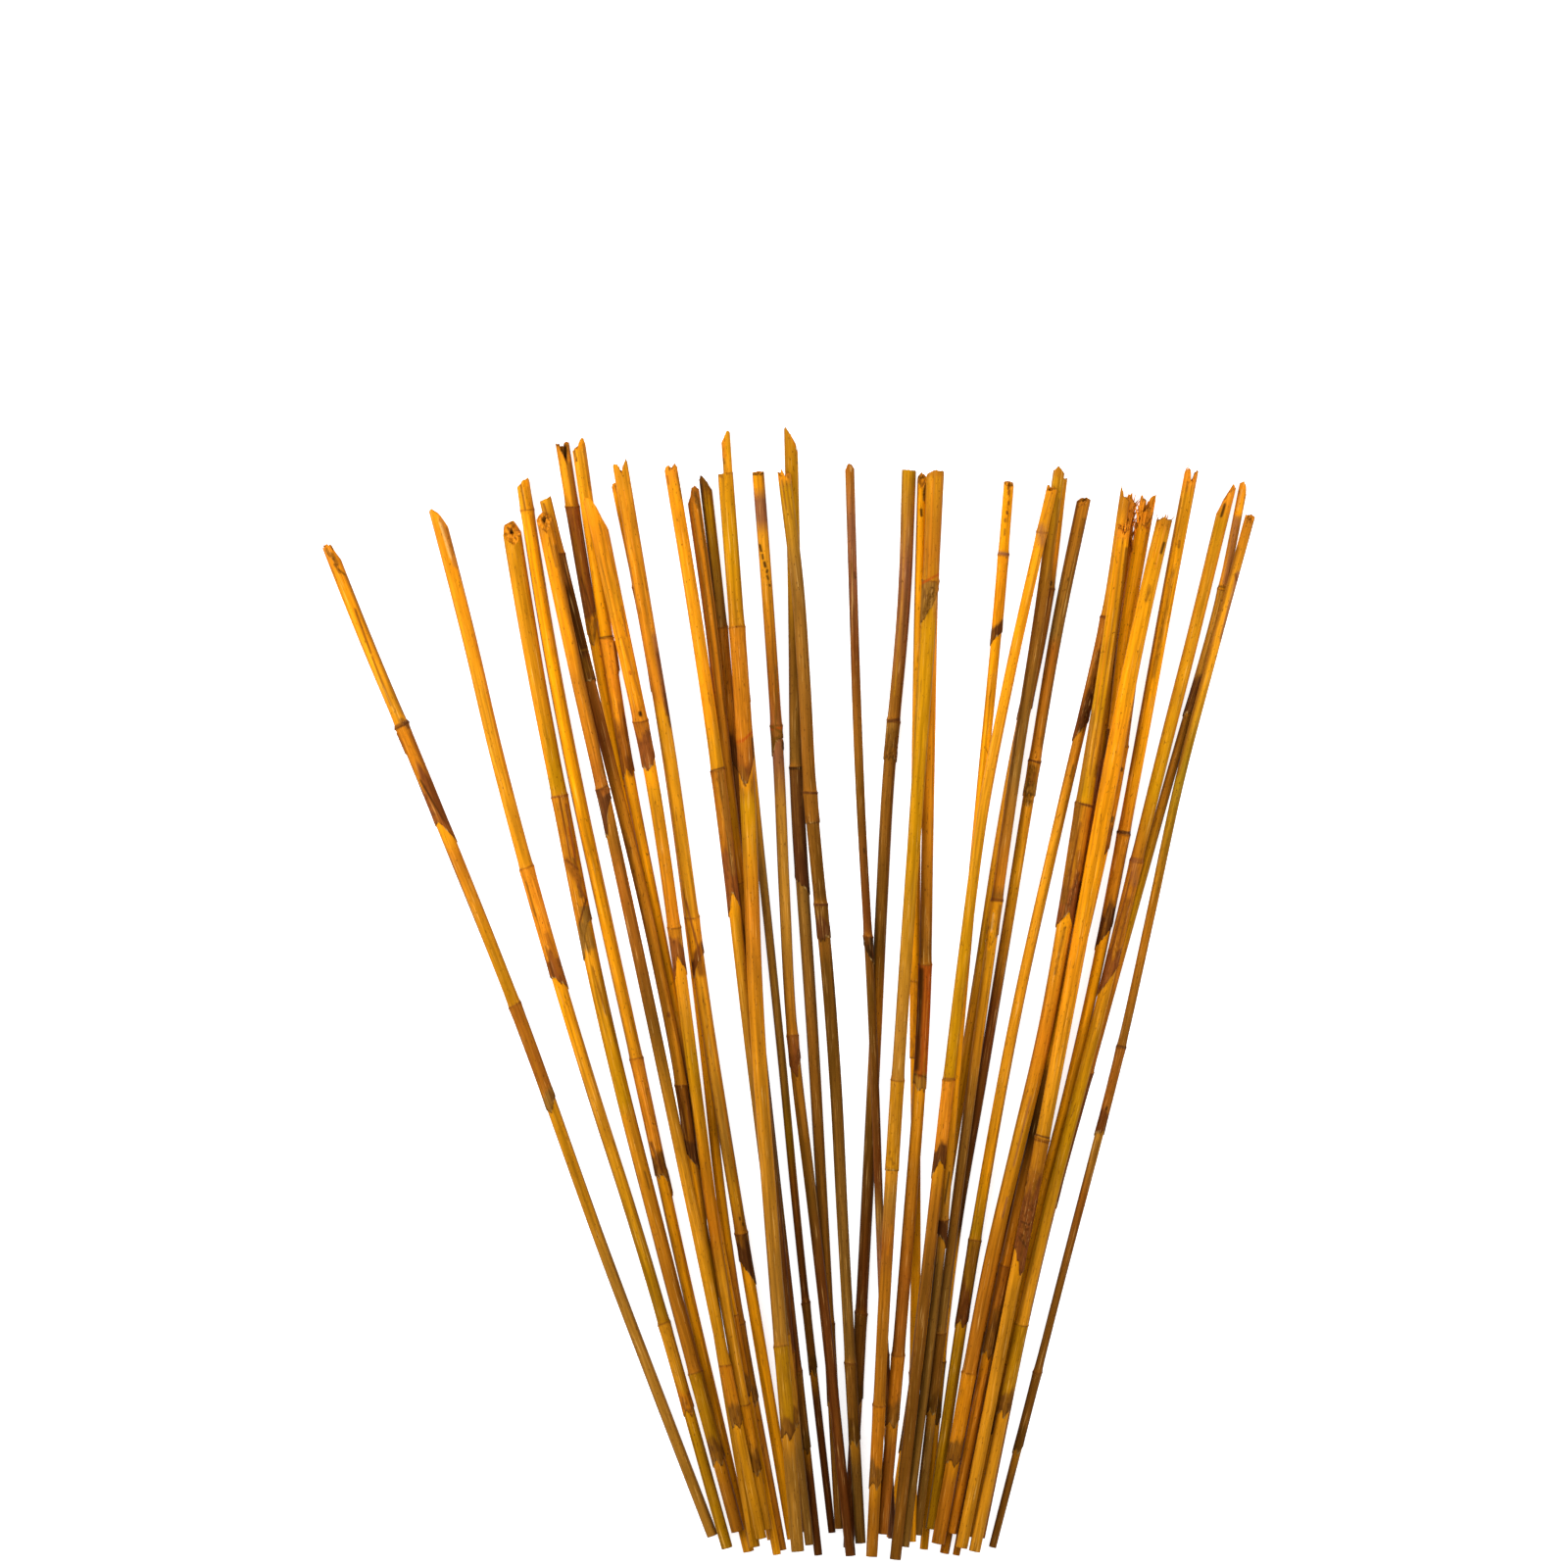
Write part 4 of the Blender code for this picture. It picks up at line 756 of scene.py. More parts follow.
def axis_frame(culm, y):
    """The axis at heights y, and the directions along, across and up from it there."""
    centre = np.stack([smooth_curve(culm.axis_y, culm.axis_x, y), y + FOOT_LINE,
                       smooth_curve(culm.axis_y, culm.axis_z, y)], axis=-1)
    slope_x = smooth_curve(culm.axis_y, culm.axis_x, y + 0.5) - smooth_curve(culm.axis_y, culm.axis_x, y - 0.5)
    slope_z = (culm.axis_z[-1] - culm.axis_z[0]) / (culm.axis_y[-1] - culm.axis_y[0])
    along = np.stack([slope_x, np.ones_like(y), np.full_like(y, slope_z)], axis=-1)
    along /= np.linalg.norm(along, axis=-1, keepdims=True)
    across = np.stack([along[..., 1], -along[..., 0], np.zeros_like(y)], axis=-1)
    across /= np.linalg.norm(across, axis=-1, keepdims=True)
    return centre, along, across, np.cross(across, along)


def sheath_share(t, joint):
    """1 on rows between a node and its hem, 0 elsewhere."""
    node, hem = joint
    return ((t > hem) & (t < node)).astype(float)[:, None] if hem else np.zeros((len(t), 1))


RIB_WIDTH = 1.1           # width of the ribs that a drying culm pulls itself into
RIB_LENGTH = 70.0
RIB_HEIGHT = 0.22
PIT = 0.55                # width of the pits in torn pith


def skin_place(radius, y):
    """Places on the skin as if the culm stood straight: across, up and along."""
    return np.stack([np.cos(TURNS) * radius, np.sin(TURNS) * radius, y], axis=-1)


def ribs(radius, y, seed):
    """Shallow ribs: a cloud stretched far along the culm and narrow round it."""
    return cloud(skin_place(radius, y) / (RIB_WIDTH, RIB_WIDTH, RIB_LENGTH), seed)


def pits_in(place, seed):
    """0 in the pits of torn pith and 1 between them."""
    coarse = cloud(place / (PIT * 1.6, PIT * 1.6, PIT * 3), seed + 41)
    fine = cloud(place / (PIT, PIT, PIT * 1.5), seed + 43)
    return ease(0.55 * coarse + 0.45 * fine, 0.34, 0.56)


def skin_radius(culm, look, t, y, seed):
    """Radius of the skin at each row and column.

    The bare culm's taper, a low rounded ridge at each node on a wider swelling, the sheath's
    thickness with a flared hem and a step along its seam, ripples that are long along the culm
    and narrow round it, and the relief of the marks.
    """
    radius = np.interp(y, culm.bare_y, culm.bare_r)
    for k, joint in enumerate(culm.joints):
        node, hem = joint
        radius += 0.22 * np.exp(-((t - node) / 0.9) ** 2)[:, None]
        radius += 0.16 * np.exp(-((t - node) / 5.0) ** 2)[:, None]
        if hem:
            flare = 0.24 + 0.16 * ease(hem + 10 - t, 0, 10)[:, None]
            sheath = look.sheaths[k]
            if sheath.seam is not None:
                past_seam = (TURNS - math.acos(sheath.seam) - (t[:, None] - hem) * 0.004) % (2 * math.pi)
                flare = flare + 0.2 * (1 - past_seam / (2 * math.pi))
            radius += sheath_share(t, joint) * flare
    radius += RIB_HEIGHT * (ribs(radius, y, seed) - 0.5)
    for mark in look.marks:
        if mark.relief:
            radius += mark.relief * stroke(mark, y, radius)
        if mark.pits:
            radius += 0.5 * mark.pits * stroke(mark, y, radius) * (pits_in(skin_place(radius, y), seed) - 0.5)
    return radius


def stroke(mark, y, radius):
    """How much of a mark lies on each point of the skin, from 0 to 1.

    The mark is all points nearer to the line from its start to its end than half its width.
    Distances are taken as seen from above, and the edge is softened inwards.
    """
    (start_y, start_side), (end_y, end_side) = mark.start, mark.end
    side = radius * (np.cos(TURNS) - start_side)
    rise = y - start_y
    ahead = radius * (end_side - start_side)
    climb = end_y - start_y
    share = np.clip((side * ahead + rise * climb) / (ahead**2 + climb**2 + 1e-9), 0, 1)
    off_line = np.hypot(side - share * ahead, rise - share * climb)
    half = max(mark.width, 0.8) / 2
    return (1 - ease(off_line, half * (1 - mark.soft), half * (1 + mark.soft) + 0.15)) * (np.sin(TURNS) > -0.3)


# %% [markdown]
# ## Colour on the skin
#
# The colour of a reed changes on every scale. The large changes belong to this reed and not
# to the material, so they are painted on the mesh as an attribute: the tones along the culm,
# the sheaths, the stains and the marks, with painted shade in the valleys between the ribs,
# on the underside, in pits and down the hollow ends. The fine fibres come later from the
# material's own noise, which is the same for all culms.

# %% Paint the skin
# Share of brightness by height: every colour painted on the skin is scaled by it, so the reeds darken towards the foot.
FADE = ((0, 0.55), (185, 0.65), (265, 0.74), (345, 0.82), (470, 0.87), (600, 0.88))


def tones_along(stops, y):
    """Linear colour at each height, mixed between the named tones on its two sides."""
    heights = [place for place, _ in stops][::-1]
    colours = np.array([TONES[tone] for _, tone in stops])[::-1]
    return np.stack([np.interp(y, heights, colours[:, k]) for k in range(3)], axis=-1)


def mixed(colour, tone, share):
    """colour turned towards a named tone by a share from 0 to 1."""
    return colour + (TONES[tone] - colour) * share[..., None]


def paint_skin(culm, look, t, y, radius, seed):
    """Linear colour of each point, and how papery it is, from 0 for culm to 1 for sheath."""
    skin = skin_place(radius, y)
    blotch = cloud(skin / (3.5, 3.5, 22), seed)
    fine = cloud(skin / (0.7, 0.7, 11), seed + 5)
    colour = tones_along(look.culm, y)
    colour = mixed(colour, "umber", 0.3 * ease(blotch, 0.5, 0.95))
    # The valleys between the ribs are painted up to a third darker: painted shade in the grooves of the skin.
    rib_valley_shade = ease(1 - ribs(radius, y, seed), 0.45, 0.85)
    colour *= (1.10 - 0.36 * rib_valley_shade)[..., None]
    colour *= (0.78 + 0.4 * fine)[..., None]
    # The underside and lower flanks are painted up to a fifth darker than the top: painted shade on the side that faces
    # the table.
    colour *= (0.8 + 0.2 * ease(np.sin(TURNS), -0.1, 0.6))[:, None]
    papery = np.zeros_like(y)
    for k, joint in enumerate(culm.joints):
        node, hem = joint
        ring = np.exp(-((t - node + 0.2) / 0.45) ** 2)[:, None] * (0.4 + 0.6 * cloud(skin / (1.6, 1.6, 30), seed + 29 + k))
        halo = np.exp(-((t - node - 0.5) / 2.2) ** 2)[:, None] * cloud(skin / (2, 2, 3), seed + 33 + k)
        colour = mixed(colour, "caramel", 0.4 * halo)
        if hem:
            sheath = look.sheaths[k]
            fresh = (t < hem)[:, None] * np.clip(1 - (hem - t[:, None]) / 14, 0, 1)
            colour = mixed(colour, "gold", sheath.fresh * fresh * (0.4 + 0.6 * blotch))
            share = sheath_share(t, joint) * np.ones_like(y)
            papery = np.maximum(papery, share)
            streak = cloud(skin / (0.7, 0.7, 14), seed + 11 + k)
            patch = cloud(skin / (2.2, 2.2, 7), seed + 17 + k)
            mould = ease(cloud(skin / (1.0, 1.0, 2.2), seed + 23 + k), 0.55, 0.75)
            from_hem = (t[:, None] - hem) / max(sheath.hem, 1) + 0.9 * (patch - 0.5)
            near_hem = (1 - ease(from_hem, 0.8, 1.1)) * share
            colour = mixed(colour, sheath.tone, 0.92 * share * (0.6 + 0.4 * ease(streak, 0.2, 0.7)))
            colour = mixed(colour, sheath.hem_tone, 0.98 * near_hem * (0.78 + 0.22 * ease(streak, 0.15, 0.6)))
            colour = mixed(colour, "bark", 0.5 * mould * share * (0.3 + 0.7 * near_hem))
            # A dark band on the sheath along its hem: partly the darker torn rim of the sheath, partly a painted shadow
            # of the hem's edge.
            edge = np.exp(-((t[:, None] - hem - HEM_STEP) / 0.7) ** 2) * share
            colour = mixed(colour, "soot", 0.55 * edge)
            fray = np.exp(-((t[:, None] - hem - 2.5 * HEM_STEP) / 0.5) ** 2) * share
            colour = mixed(colour, "cream", 0.6 * fray * ease(cloud(skin / (0.9, 0.9, 9), seed + 37 + k), 0.55, 0.8))
            if sheath.seam is not None:
                past_seam = (TURNS - math.acos(sheath.seam) - (t[:, None] - hem) * 0.004) % (2 * math.pi)
                colour = mixed(colour, "soot", 0.5 * share * (np.minimum(past_seam, 2 * math.pi - past_seam) < 0.1))
        colour = mixed(colour, "chestnut", 0.9 * ring)
    tone, length = look.tip.stain
    if tone:
        colour = mixed(colour, tone, 0.8 * ease(y, culm.tip - length * 1.3, culm.tip - length * 0.4))
    for mark in look.marks:
        share = mark.strength * stroke(mark, y, radius)
        colour = mixed(colour, mark.tone, share)
        # In a mark torn into pits, the pits are painted dark: painted shade in the hollows that the skin's relief sinks
        # there.
        if mark.pits:
            colour = mixed(colour, "hollow", mark.pits * share * (1 - pits_in(skin, seed)))
    colour *= np.interp(y, *zip(*FADE))[..., None]
    return colour, papery


# %% [markdown]
# ## Ends, slivers and the finished mesh
#
# At the thick end the wall of the tube shows: a pale rim of torn fibres round a dark hollow,
# or round spongy pith. The rows carry on over the rim, down the inner wall, and meet in one
# point at the bottom, so that the tube is closed. The thin end is finished the same way with
# a plain sawn rim. Slivers that stick out of a broken end are thin closed cones.

# %% Close the ends
# Rows of an end, from the rim to the bottom of the hollow. The first few cross the wall: the
# share of the wall that is left. The others go down the hollow: how deep, as a share of its
# depth, and how much of the bore's width is left there.
WALL_ROWS = (0.97, 0.8, 0.6, 0.4, 0.2, 0.0)
HOLLOW_ROWS = ((0.12, 0.98), (0.4, 0.94), (0.75, 0.85), (0.95, 0.55), (1.0, 0.25))


def end_rows(rim_y, rim_radius, line, bore, depth, rag, seed):
    """Heights and radii of the rows inside an end, and how deep each point lies, 0 to 1.

    The cut face is a plane, so a row nearer to the axis follows less of the slant, and torn
    pith roughens it. Down the hollow the rows level out until they lie straight across.
    """
    heights, radii, inside = [], [], []
    for left in WALL_ROWS:
        size = bore + (1 - bore) * left
        place = np.stack([np.cos(TURNS) * rim_radius * size, np.sin(TURNS) * rim_radius * size, line * 0], axis=-1)
        rough = rag * (pits_in(place * (1, 1, 1), seed) - 0.8) * (1 - left)
        heights.append(rim_y + line * (size + (1 - size) * 0.0) + rough)
        radii.append(rim_radius * size)
        inside.append(0.0)
    edge = heights[-1] - rim_y
    for deep, width in HOLLOW_ROWS:
        level = edge.min() * deep + edge * (1 - deep)
        heights.append(rim_y + level - depth * deep)
        radii.append(rim_radius * bore * width)
        inside.append(min(1.0, 0.5 + deep * 2))
    return np.array(heights), np.array(radii), np.array(inside)


def paint_end(y, radius, inside, wall_tone, inside_tone, seed):
    """Pale torn pith on the cut face, painted dark in its pits, and down the hollow the given inside tone, taken more
    fully the deeper it lies: painted shade in the pits and in the tube.
    """
    place = np.stack([np.cos(TURNS) * radius, np.sin(TURNS) * radius, y * 0.5], axis=-1)
    pits = pits_in(place, seed)
    # The pits of the cut face take the dark hollow tone: painted shade in them.
    face = TONES["hollow"] + (wall_tone - TONES["hollow"]) * (0.3 + 0.7 * pits)[..., None]
    return face + (TONES[inside_tone] - face) * inside[:, None, None]


def build_reed(name, culm, look):
    """All arrays of one dressed culm: points, faces, colours, skin coordinates and finish."""
    seed = int(name[-2:]) * 101
    t = rows[name]
    tip = look.tip
    cut = cut_line(tip, seed)
    places = [(culm.tip, cut, 1.4 * np.abs(cut).max() + 3)]
    for k, (node, hem) in enumerate(culm.joints):
        places.append((node, 0.5 * np.cos(TURNS - seed) - 0.4 * np.sin(TURNS), 6))
        if hem:
            line = hem_line(look.sheaths[k], seed + 31 * k)
            places.append((hem, line, min(1.6 * np.abs(line).max() + 3, node - hem - 2)))
    y = bend_rows(t, places)
    radius = skin_radius(culm, look, t, y, seed)
    colour, papery = paint_skin(culm, look, t, y, radius, seed)

    top_y, top_r, top_in = end_rows(culm.tip, radius[-1], cut, tip.bore, tip.depth, tip.rag, seed)
    low_y, low_r, low_in = end_rows(culm.foot, radius[0], np.zeros_like(cut), 0.5, 3.0, 0.2, seed)
    low_y = 2 * culm.foot - low_y
    wall = (colour[-1].mean(axis=0) + TONES["pith"]) / 2
    # Both ends are painted with shade in the pits of their cut faces and down their hollows.
    top_colour = paint_end(top_y, top_r, top_in, wall, tip.inside, seed)
    low_colour = paint_end(low_y, low_r, low_in, TONES["tan"] * 0.6, "hollow", seed)
    y = np.concatenate([low_y[::-1], y, top_y])
    radius = np.concatenate([low_r[::-1], radius, top_r])
    colour = np.concatenate([low_colour[::-1], colour, top_colour])
    papery = np.concatenate([np.ones_like(low_y), papery, np.ones_like(top_y)])

    centre, along, across, upward = axis_frame(culm, y)
    points = centre + radius[..., None] * (np.cos(TURNS)[:, None] * across + np.sin(TURNS)[:, None] * upward)
    coords = np.stack([radius * np.cos(TURNS), radius * np.sin(TURNS), y + seed], axis=-1)
    count, columns = radius.shape
    poles = np.stack([points[0].mean(axis=0), points[-1].mean(axis=0)])

    row, column = np.meshgrid(np.arange(count - 1), np.arange(columns), indexing="ij")
    following = (column + 1) % columns
    corner = [row * columns + column, (row + 1) * columns + column,
              (row + 1) * columns + following, row * columns + following]
    quads = np.stack(corner, axis=-1).reshape(-1, 4)
    ring = np.arange(columns)
    low_pole = np.stack([ring, (ring + 1) % columns, np.full(columns, count * columns)], axis=-1)
    last = (count - 1) * columns
    top_pole = np.stack([last + (ring + 1) % columns, last + ring, np.full(columns, count * columns + 1)], axis=-1)
    faces = quads.tolist() + low_pole[:, ::-1].tolist() + top_pole[:, ::-1].tolist()
    return (
        np.concatenate([points.reshape(-1, 3), poles]), faces,
        np.concatenate([colour.reshape(-1, 3), colour[0].mean(0)[None], colour[-1].mean(0)[None]]),
        np.concatenate([coords.reshape(-1, 3), coords[0].mean(0)[None], coords[-1].mean(0)[None]]),
        np.concatenate([papery.reshape(-1), [1, 1]]),
    )


# %% Add the slivers of a broken end
SLIVER_SIDES = 5
SLIVER_RINGS = 7


def build_sliver(culm, radius_at_tip, angle, start, length, width, lean, tone):
    """One splinter as a closed cone: flat, widest near its root, and leaning outwards.

    Its axis starts in the wall of the tube and climbs along the culm, moving outwards with
    the square of the climb. Its width shrinks to nothing at the end.
    """
    climb = np.linspace(0, 1, SLIVER_RINGS)
    y = culm.tip + start + climb * length
    centre, along, across, upward = axis_frame(culm, y)
    turn = math.radians(angle)
    outward = math.cos(turn) * across + math.sin(turn) * upward
    sideways = np.cross(along, outward)
    middle = centre + outward * (radius_at_tip * 0.86 + lean * length * climb**2)[:, None]
    half = width / 2 * (1 - climb) ** 0.7 * np.minimum(1, 0.5 + 3 * climb)
    sides = np.arange(SLIVER_SIDES) * 2 * math.pi / SLIVER_SIDES
    points = (middle[:-1, None] + half[:-1, None, None] * np.cos(sides)[:, None] * sideways[:-1, None]
              + 0.45 * half[:-1, None, None] * np.sin(sides)[:, None] * outward[:-1, None])
    rings = SLIVER_RINGS - 1
    row, column = np.meshgrid(np.arange(rings - 1), np.arange(SLIVER_SIDES), indexing="ij")
    following = (column + 1) % SLIVER_SIDES
    quads = np.stack([row * SLIVER_SIDES + column, row * SLIVER_SIDES + following,
                      (row + 1) * SLIVER_SIDES + following, (row + 1) * SLIVER_SIDES + column], axis=-1)
    root = [list(range(SLIVER_SIDES))[::-1]]
    last = (rings - 1) * SLIVER_SIDES
    apex = [[last + k, last + (k + 1) % SLIVER_SIDES, rings * SLIVER_SIDES] for k in range(SLIVER_SIDES)]
    points = np.concatenate([points.reshape(-1, 3), middle[-1:]])
    return points, quads.reshape(-1, 4).tolist() + root + apex, np.tile(TONES[tone], (len(points), 1))


# %% Turn the arrays into meshes
def make_mesh(name, points, faces, colour, coords, papery):
    """A smooth-shaded mesh in metres with the three attributes that the materials read."""
    mesh = bpy.data.meshes.new(name)
    mesh.from_pydata(points * MM, [], faces)
    mesh.update()
    mesh.shade_smooth()
    tint = mesh.attributes.new("culm_colour", "FLOAT_COLOR", "POINT")
    tint.data.foreach_set("color", np.column_stack([colour, np.ones(len(colour))]).ravel())
    skin = mesh.attributes.new("culm_coords", "FLOAT_VECTOR", "POINT")
    skin.data.foreach_set("vector", coords.ravel())
    paper = mesh.attributes.new("papery", "FLOAT", "POINT")
    paper.data.foreach_set("value", papery)
    thing = bpy.data.objects.new(name, mesh)
    bpy.context.scene.collection.objects.link(thing)
    return thing


def dress(name):
    """Build one culm and its slivers as one mesh."""
    culm, look = culms[name], LOOKS[name]
    points, faces, colour, coords, papery = build_reed(name, culm, look)
    for sliver in look.tip.fringe:
        more, more_faces, more_colour = build_sliver(culm, culm.bare_r[-1], *sliver)
        faces += [[k + len(points) for k in face] for face in more_faces]
        coords = np.concatenate([coords, more / MM * 0 + more])
        papery = np.concatenate([papery, np.ones(len(more))])
        colour = np.concatenate([colour, more_colour])
        points = np.concatenate([points, more])
    return make_mesh("dressed_" + name, points, faces, colour, coords, papery)


pieces = {name: dress(name) for name in culms}
total = sum(len(piece.data.polygons) for piece in pieces.values())
print(len(pieces), "culms with", total, "faces")

# %% [markdown]
# ## The culm's material
#
# A reed's skin is a hard layer full of silica with a film of wax, so it is smooth and a
# little glossy, and fine fibres show through it as lines along the culm. The sheath over it
# is dead leaf: dull, ribbed and blotched. One material covers both, because a point's
# papery share tells which of the two it is. The four finishes differ in how strongly the
# fibres and the mould specks show.

# %% Make the four finishes
def add(tree, kind, settings=(), **links):
    """Add a node, set its properties, and link or set its inputs by name."""
    node = tree.nodes.new(kind)
    for key, value in dict(settings).items():
        setattr(node, key, value)
    for key, value in links.items():
        socket = node.inputs[int(key[1:])] if key[1:].isdigit() else node.inputs[key.replace("_", " ")]
        if isinstance(value, bpy.types.NodeSocket):
            tree.links.new(value, socket)
        else:
            socket.default_value = value
    return node


Finish = namedtuple("Finish", "fibre speck gloss")
FINISHES = {
    "golden_culm": Finish(fibre=0.38, speck=0.60, gloss=0.40),
    "olive_culm": Finish(fibre=0.36, speck=0.55, gloss=0.42),
    "amber_culm": Finish(fibre=0.42, speck=0.65, gloss=0.44),
    "brown_culm": Finish(fibre=0.50, speck=0.70, gloss=0.48),
}


def culm_material(slot_name, finish):
    """Dry reed skin, waxy where bare and papery where a sheath covers it."""
    material = bpy.data.materials.new("dry_reed_" + slot_name)
    material.use_nodes = True
    tree = material.node_tree
    shader = tree.nodes["Principled BSDF"]
    tint = add(tree, "ShaderNodeAttribute", {"attribute_name": "culm_colour"})
    skin = add(tree, "ShaderNodeAttribute", {"attribute_name": "culm_coords"})
    papery = add(tree, "ShaderNodeAttribute", {"attribute_name": "papery"})
    # Fibres stand 0.6 mm apart round the culm and run for about 20 mm. Real ones are 0.1 mm
    # apart, which is too fine to show, so they are drawn coarser.
    fibre_at = add(tree, "ShaderNodeVectorMath", {"operation": "MULTIPLY"},
                   _0=skin.outputs["Vector"], _1=(1 / 0.6, 1 / 0.6, 1 / 20))
    fibre = add(tree, "ShaderNodeTexNoise", {"noise_dimensions": "3D"},
                Vector=fibre_at.outputs[0], Scale=1.0, Detail=2.0, Roughness=0.6)
    depth = add(tree, "ShaderNodeMapRange", {}, _0=papery.outputs["Fac"], _1=0.0, _2=1.0,
                _3=finish.fibre, _4=finish.fibre * 1.8)
    # The fibre noise also sets the bump's height, so the colour it darkens in the grooves and lightens on the crests is
    # partly the fibres' own streaks and partly painted shade and highlight of that relief.
    swing = add(tree, "ShaderNodeMath", {"operation": "MULTIPLY_ADD"}, _0=fibre.outputs["Fac"], _1=2.0, _2=-1.0)
    shade = add(tree, "ShaderNodeMath", {"operation": "MULTIPLY_ADD"},
                _0=swing.outputs[0], _1=depth.outputs[0], _2=1.0)
    grained = add(tree, "ShaderNodeVectorMath", {"operation": "SCALE"}, _0=tint.outputs["Color"])
    tree.links.new(shade.outputs[0], grained.inputs["Scale"])
    # Where the fibre noise, which is also the bump's height, stands highest, the colour turns pale: partly bleached
    # fibres, partly a painted highlight on the crests.
    bleach_and_highlight = add(tree, "ShaderNodeMapRange", {"interpolation_type": "SMOOTHSTEP"},
               _0=fibre.outputs["Fac"], _1=0.60, _2=0.78, _3=0.0, _4=0.5)
    grained = add(tree, "ShaderNodeMix", {"data_type": "RGBA"}, _0=bleach_and_highlight.outputs[0],
                  _6=grained.outputs[0], _7=(*TONES["cream"] * 0.8, 1))
    # Mould specks are 0.3 to 1 mm long and lie along the fibres. Scratches are as wide and
    # about 12 mm long.
    spotted = grained.outputs[2]
    for size, low in ((2.0, 0.66), (12.0, 0.70)):
        speck_at = add(tree, "ShaderNodeVectorMath", {"operation": "MULTIPLY"},
                       _0=skin.outputs["Vector"], _1=(1 / 0.7, 1 / 0.7, 1 / size))
        speck = add(tree, "ShaderNodeTexNoise", {"noise_dimensions": "3D"},
                    Vector=speck_at.outputs[0], Scale=1.0, Detail=1.0, Roughness=0.5)
        spots = add(tree, "ShaderNodeMapRange", {"interpolation_type": "SMOOTHSTEP"},
                    _0=speck.outputs["Fac"], _1=low, _2=low + 0.07, _3=0.0, _4=finish.speck)
        spotted = add(tree, "ShaderNodeMix", {"data_type": "RGBA"}, _0=spots.outputs[0],
                      _6=spotted, _7=(*TONES["chestnut"] * 0.4, 1)).outputs[2]
    rough = add(tree, "ShaderNodeMapRange", {}, _0=papery.outputs["Fac"], _1=0.0, _2=1.0,
                _3=finish.gloss, _4=0.68)
    bump = add(tree, "ShaderNodeBump", {}, Strength=0.5, Distance=0.00012, Height=fibre.outputs["Fac"])
    tree.links.new(spotted, shader.inputs["Base Color"])
    tree.links.new(rough.outputs[0], shader.inputs["Roughness"])
    tree.links.new(bump.outputs[0], shader.inputs["Normal"])
    # The wax film is yellow, so the little that the skin mirrors comes back golden.
    shader.inputs["Specular IOR Level"].default_value = 0.13
    shader.inputs["Specular Tint"].default_value = (*linear("#FFB840"), 1)
    return material


materials = {slot_name: culm_material(slot_name, finish) for slot_name, finish in FINISHES.items()}
print("materials:", ", ".join(materials))

# %% Put each dressed culm in its node's place
slots = {part["node"]: part["material_slot"] for part in frame["record"]["subparts"]}
for name, piece in pieces.items():
    piece.data.materials.append(materials[slots[name]])
    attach(piece, "root")
    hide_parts(name)
print("dressed", len(pieces), "reeds")

# %% [markdown]
# ## Floor, light and camera
#
# The bunch lies on a plain white table and is seen from straight above. A wide soft light
# over the thick ends, as from a big window, leaves the shadows faint, and a white sky fills
# them in.

# %% Set the stage
FLOOR_SIZE = 12.0
TABLE_GLOW = 0.7


def sheet_of(name, size, z):
    """A flat square of one face."""
    half = size / 2
    mesh = bpy.data.meshes.new(name)
    mesh.from_pydata([(-half, -half, z), (half, -half, z), (half, half, z), (-half, half, z)], [], [(0, 1, 2, 3)])
    thing = bpy.data.objects.new(name, mesh)
    bpy.context.scene.collection.objects.link(thing)
    return thing


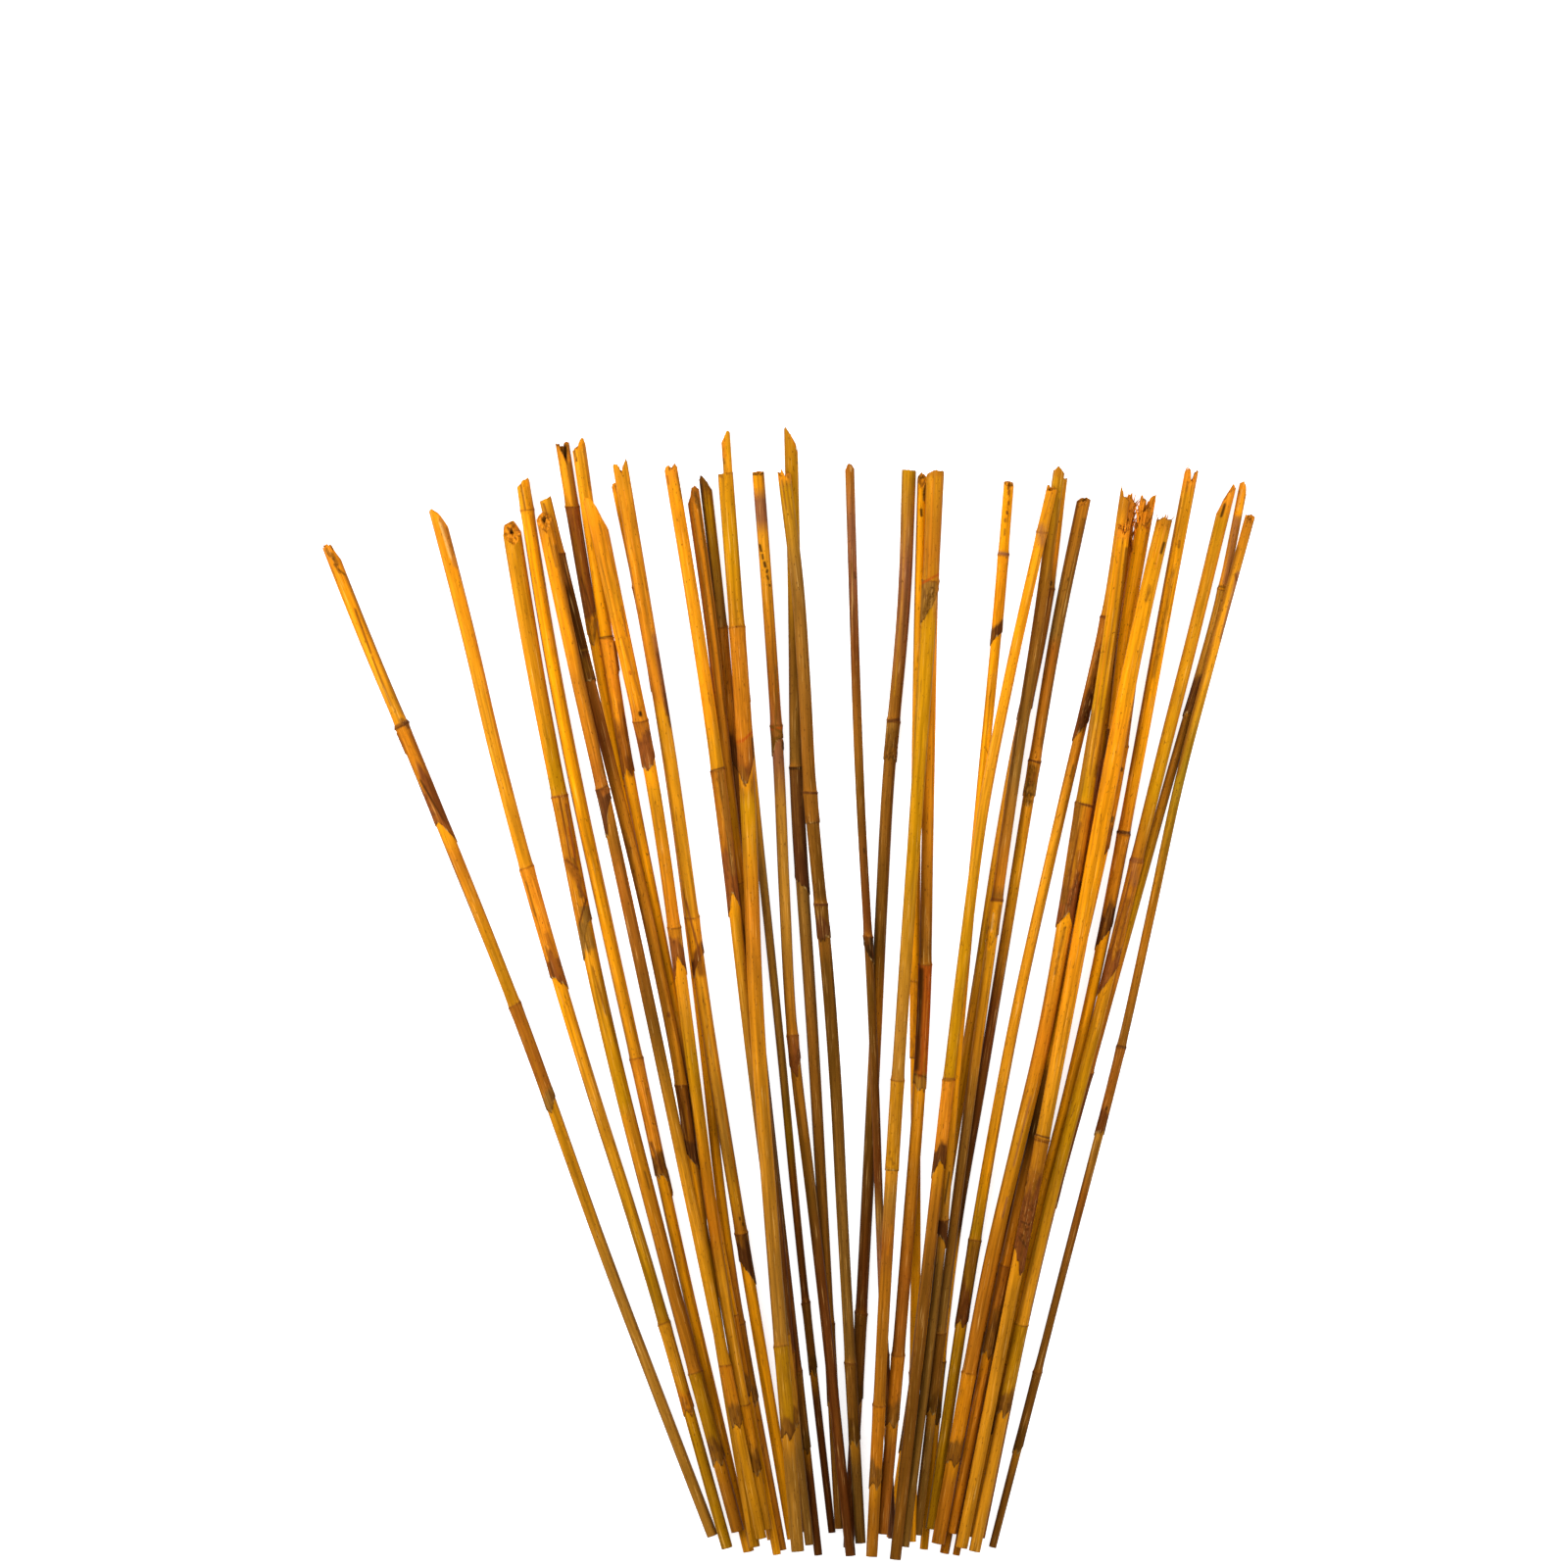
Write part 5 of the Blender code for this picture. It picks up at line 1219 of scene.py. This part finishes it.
floor = sheet_of("white_table", FLOOR_SIZE, 0.0)
paint = bpy.data.materials.new("matt_white_table_paint")
paint.use_nodes = True
paint.node_tree.nodes["Principled BSDF"].inputs["Base Color"].default_value = (*linear("#FAFAFA"), 1)
paint.node_tree.nodes["Principled BSDF"].inputs["Roughness"].default_value = 0.9
paint.node_tree.nodes["Principled BSDF"].inputs["Specular IOR Level"].default_value = 0.1
paint.node_tree.nodes["Principled BSDF"].inputs["Emission Color"].default_value = (1, 1, 1, 1)
paint.node_tree.nodes["Principled BSDF"].inputs["Emission Strength"].default_value = TABLE_GLOW
floor.data.materials.append(paint)
floor.visible_diffuse = False
floor.visible_glossy = False

world = bpy.data.worlds.new("white_sky")
world.use_nodes = True
world.node_tree.nodes["Background"].inputs["Color"].default_value = (1, 1, 1, 1)
world.node_tree.nodes["Background"].inputs["Strength"].default_value = 0.55
bpy.context.scene.world = world



def aim(thing, target):
    """Turn a lamp so that it looks at a point."""
    way = np.array(target) - np.array(thing.location)
    thing.rotation_euler = (math.atan2(math.hypot(way[0], way[1]), -way[2]), 0, math.atan2(-way[0], way[1]))


def softbox(name, place, size, energy):
    """A round soft lamp that looks at the middle of the reeds' thick ends."""
    lamp = bpy.data.lights.new(name, "AREA")
    lamp.shape = "DISK"
    lamp.size = size
    lamp.energy = energy
    box = bpy.data.objects.new(name, lamp)
    box.location = place
    bpy.context.scene.collection.objects.link(box)
    aim(box, (0, 0.08, 0))


softbox("left_softbox", (-0.9, 0.25, 0.65), 0.8, 11.6)
softbox("right_softbox", (0.9, 0.25, 0.75), 0.8, 5.8)
softbox("top_softbox", (-0.25, 0.6, 2.2), 1.4, 12.6)

# %% Set the camera
VIEW_CENTRE = (-0.002, 0.1065)
VIEW_WIDTH = 0.8
LENS = 150.0
SENSOR = 36.0
camera = bpy.data.cameras.new("camera")
camera.lens = LENS
camera.sensor_width = SENSOR
camera.clip_end = 20
viewer = bpy.data.objects.new("camera", camera)
viewer.location = (*VIEW_CENTRE, 0.008 + VIEW_WIDTH * LENS / SENSOR)
bpy.context.scene.collection.objects.link(viewer)
bpy.context.scene.camera = viewer
bpy.context.scene.view_settings.view_transform = "Standard"
print("camera at", [round(v, 3) for v in viewer.location])
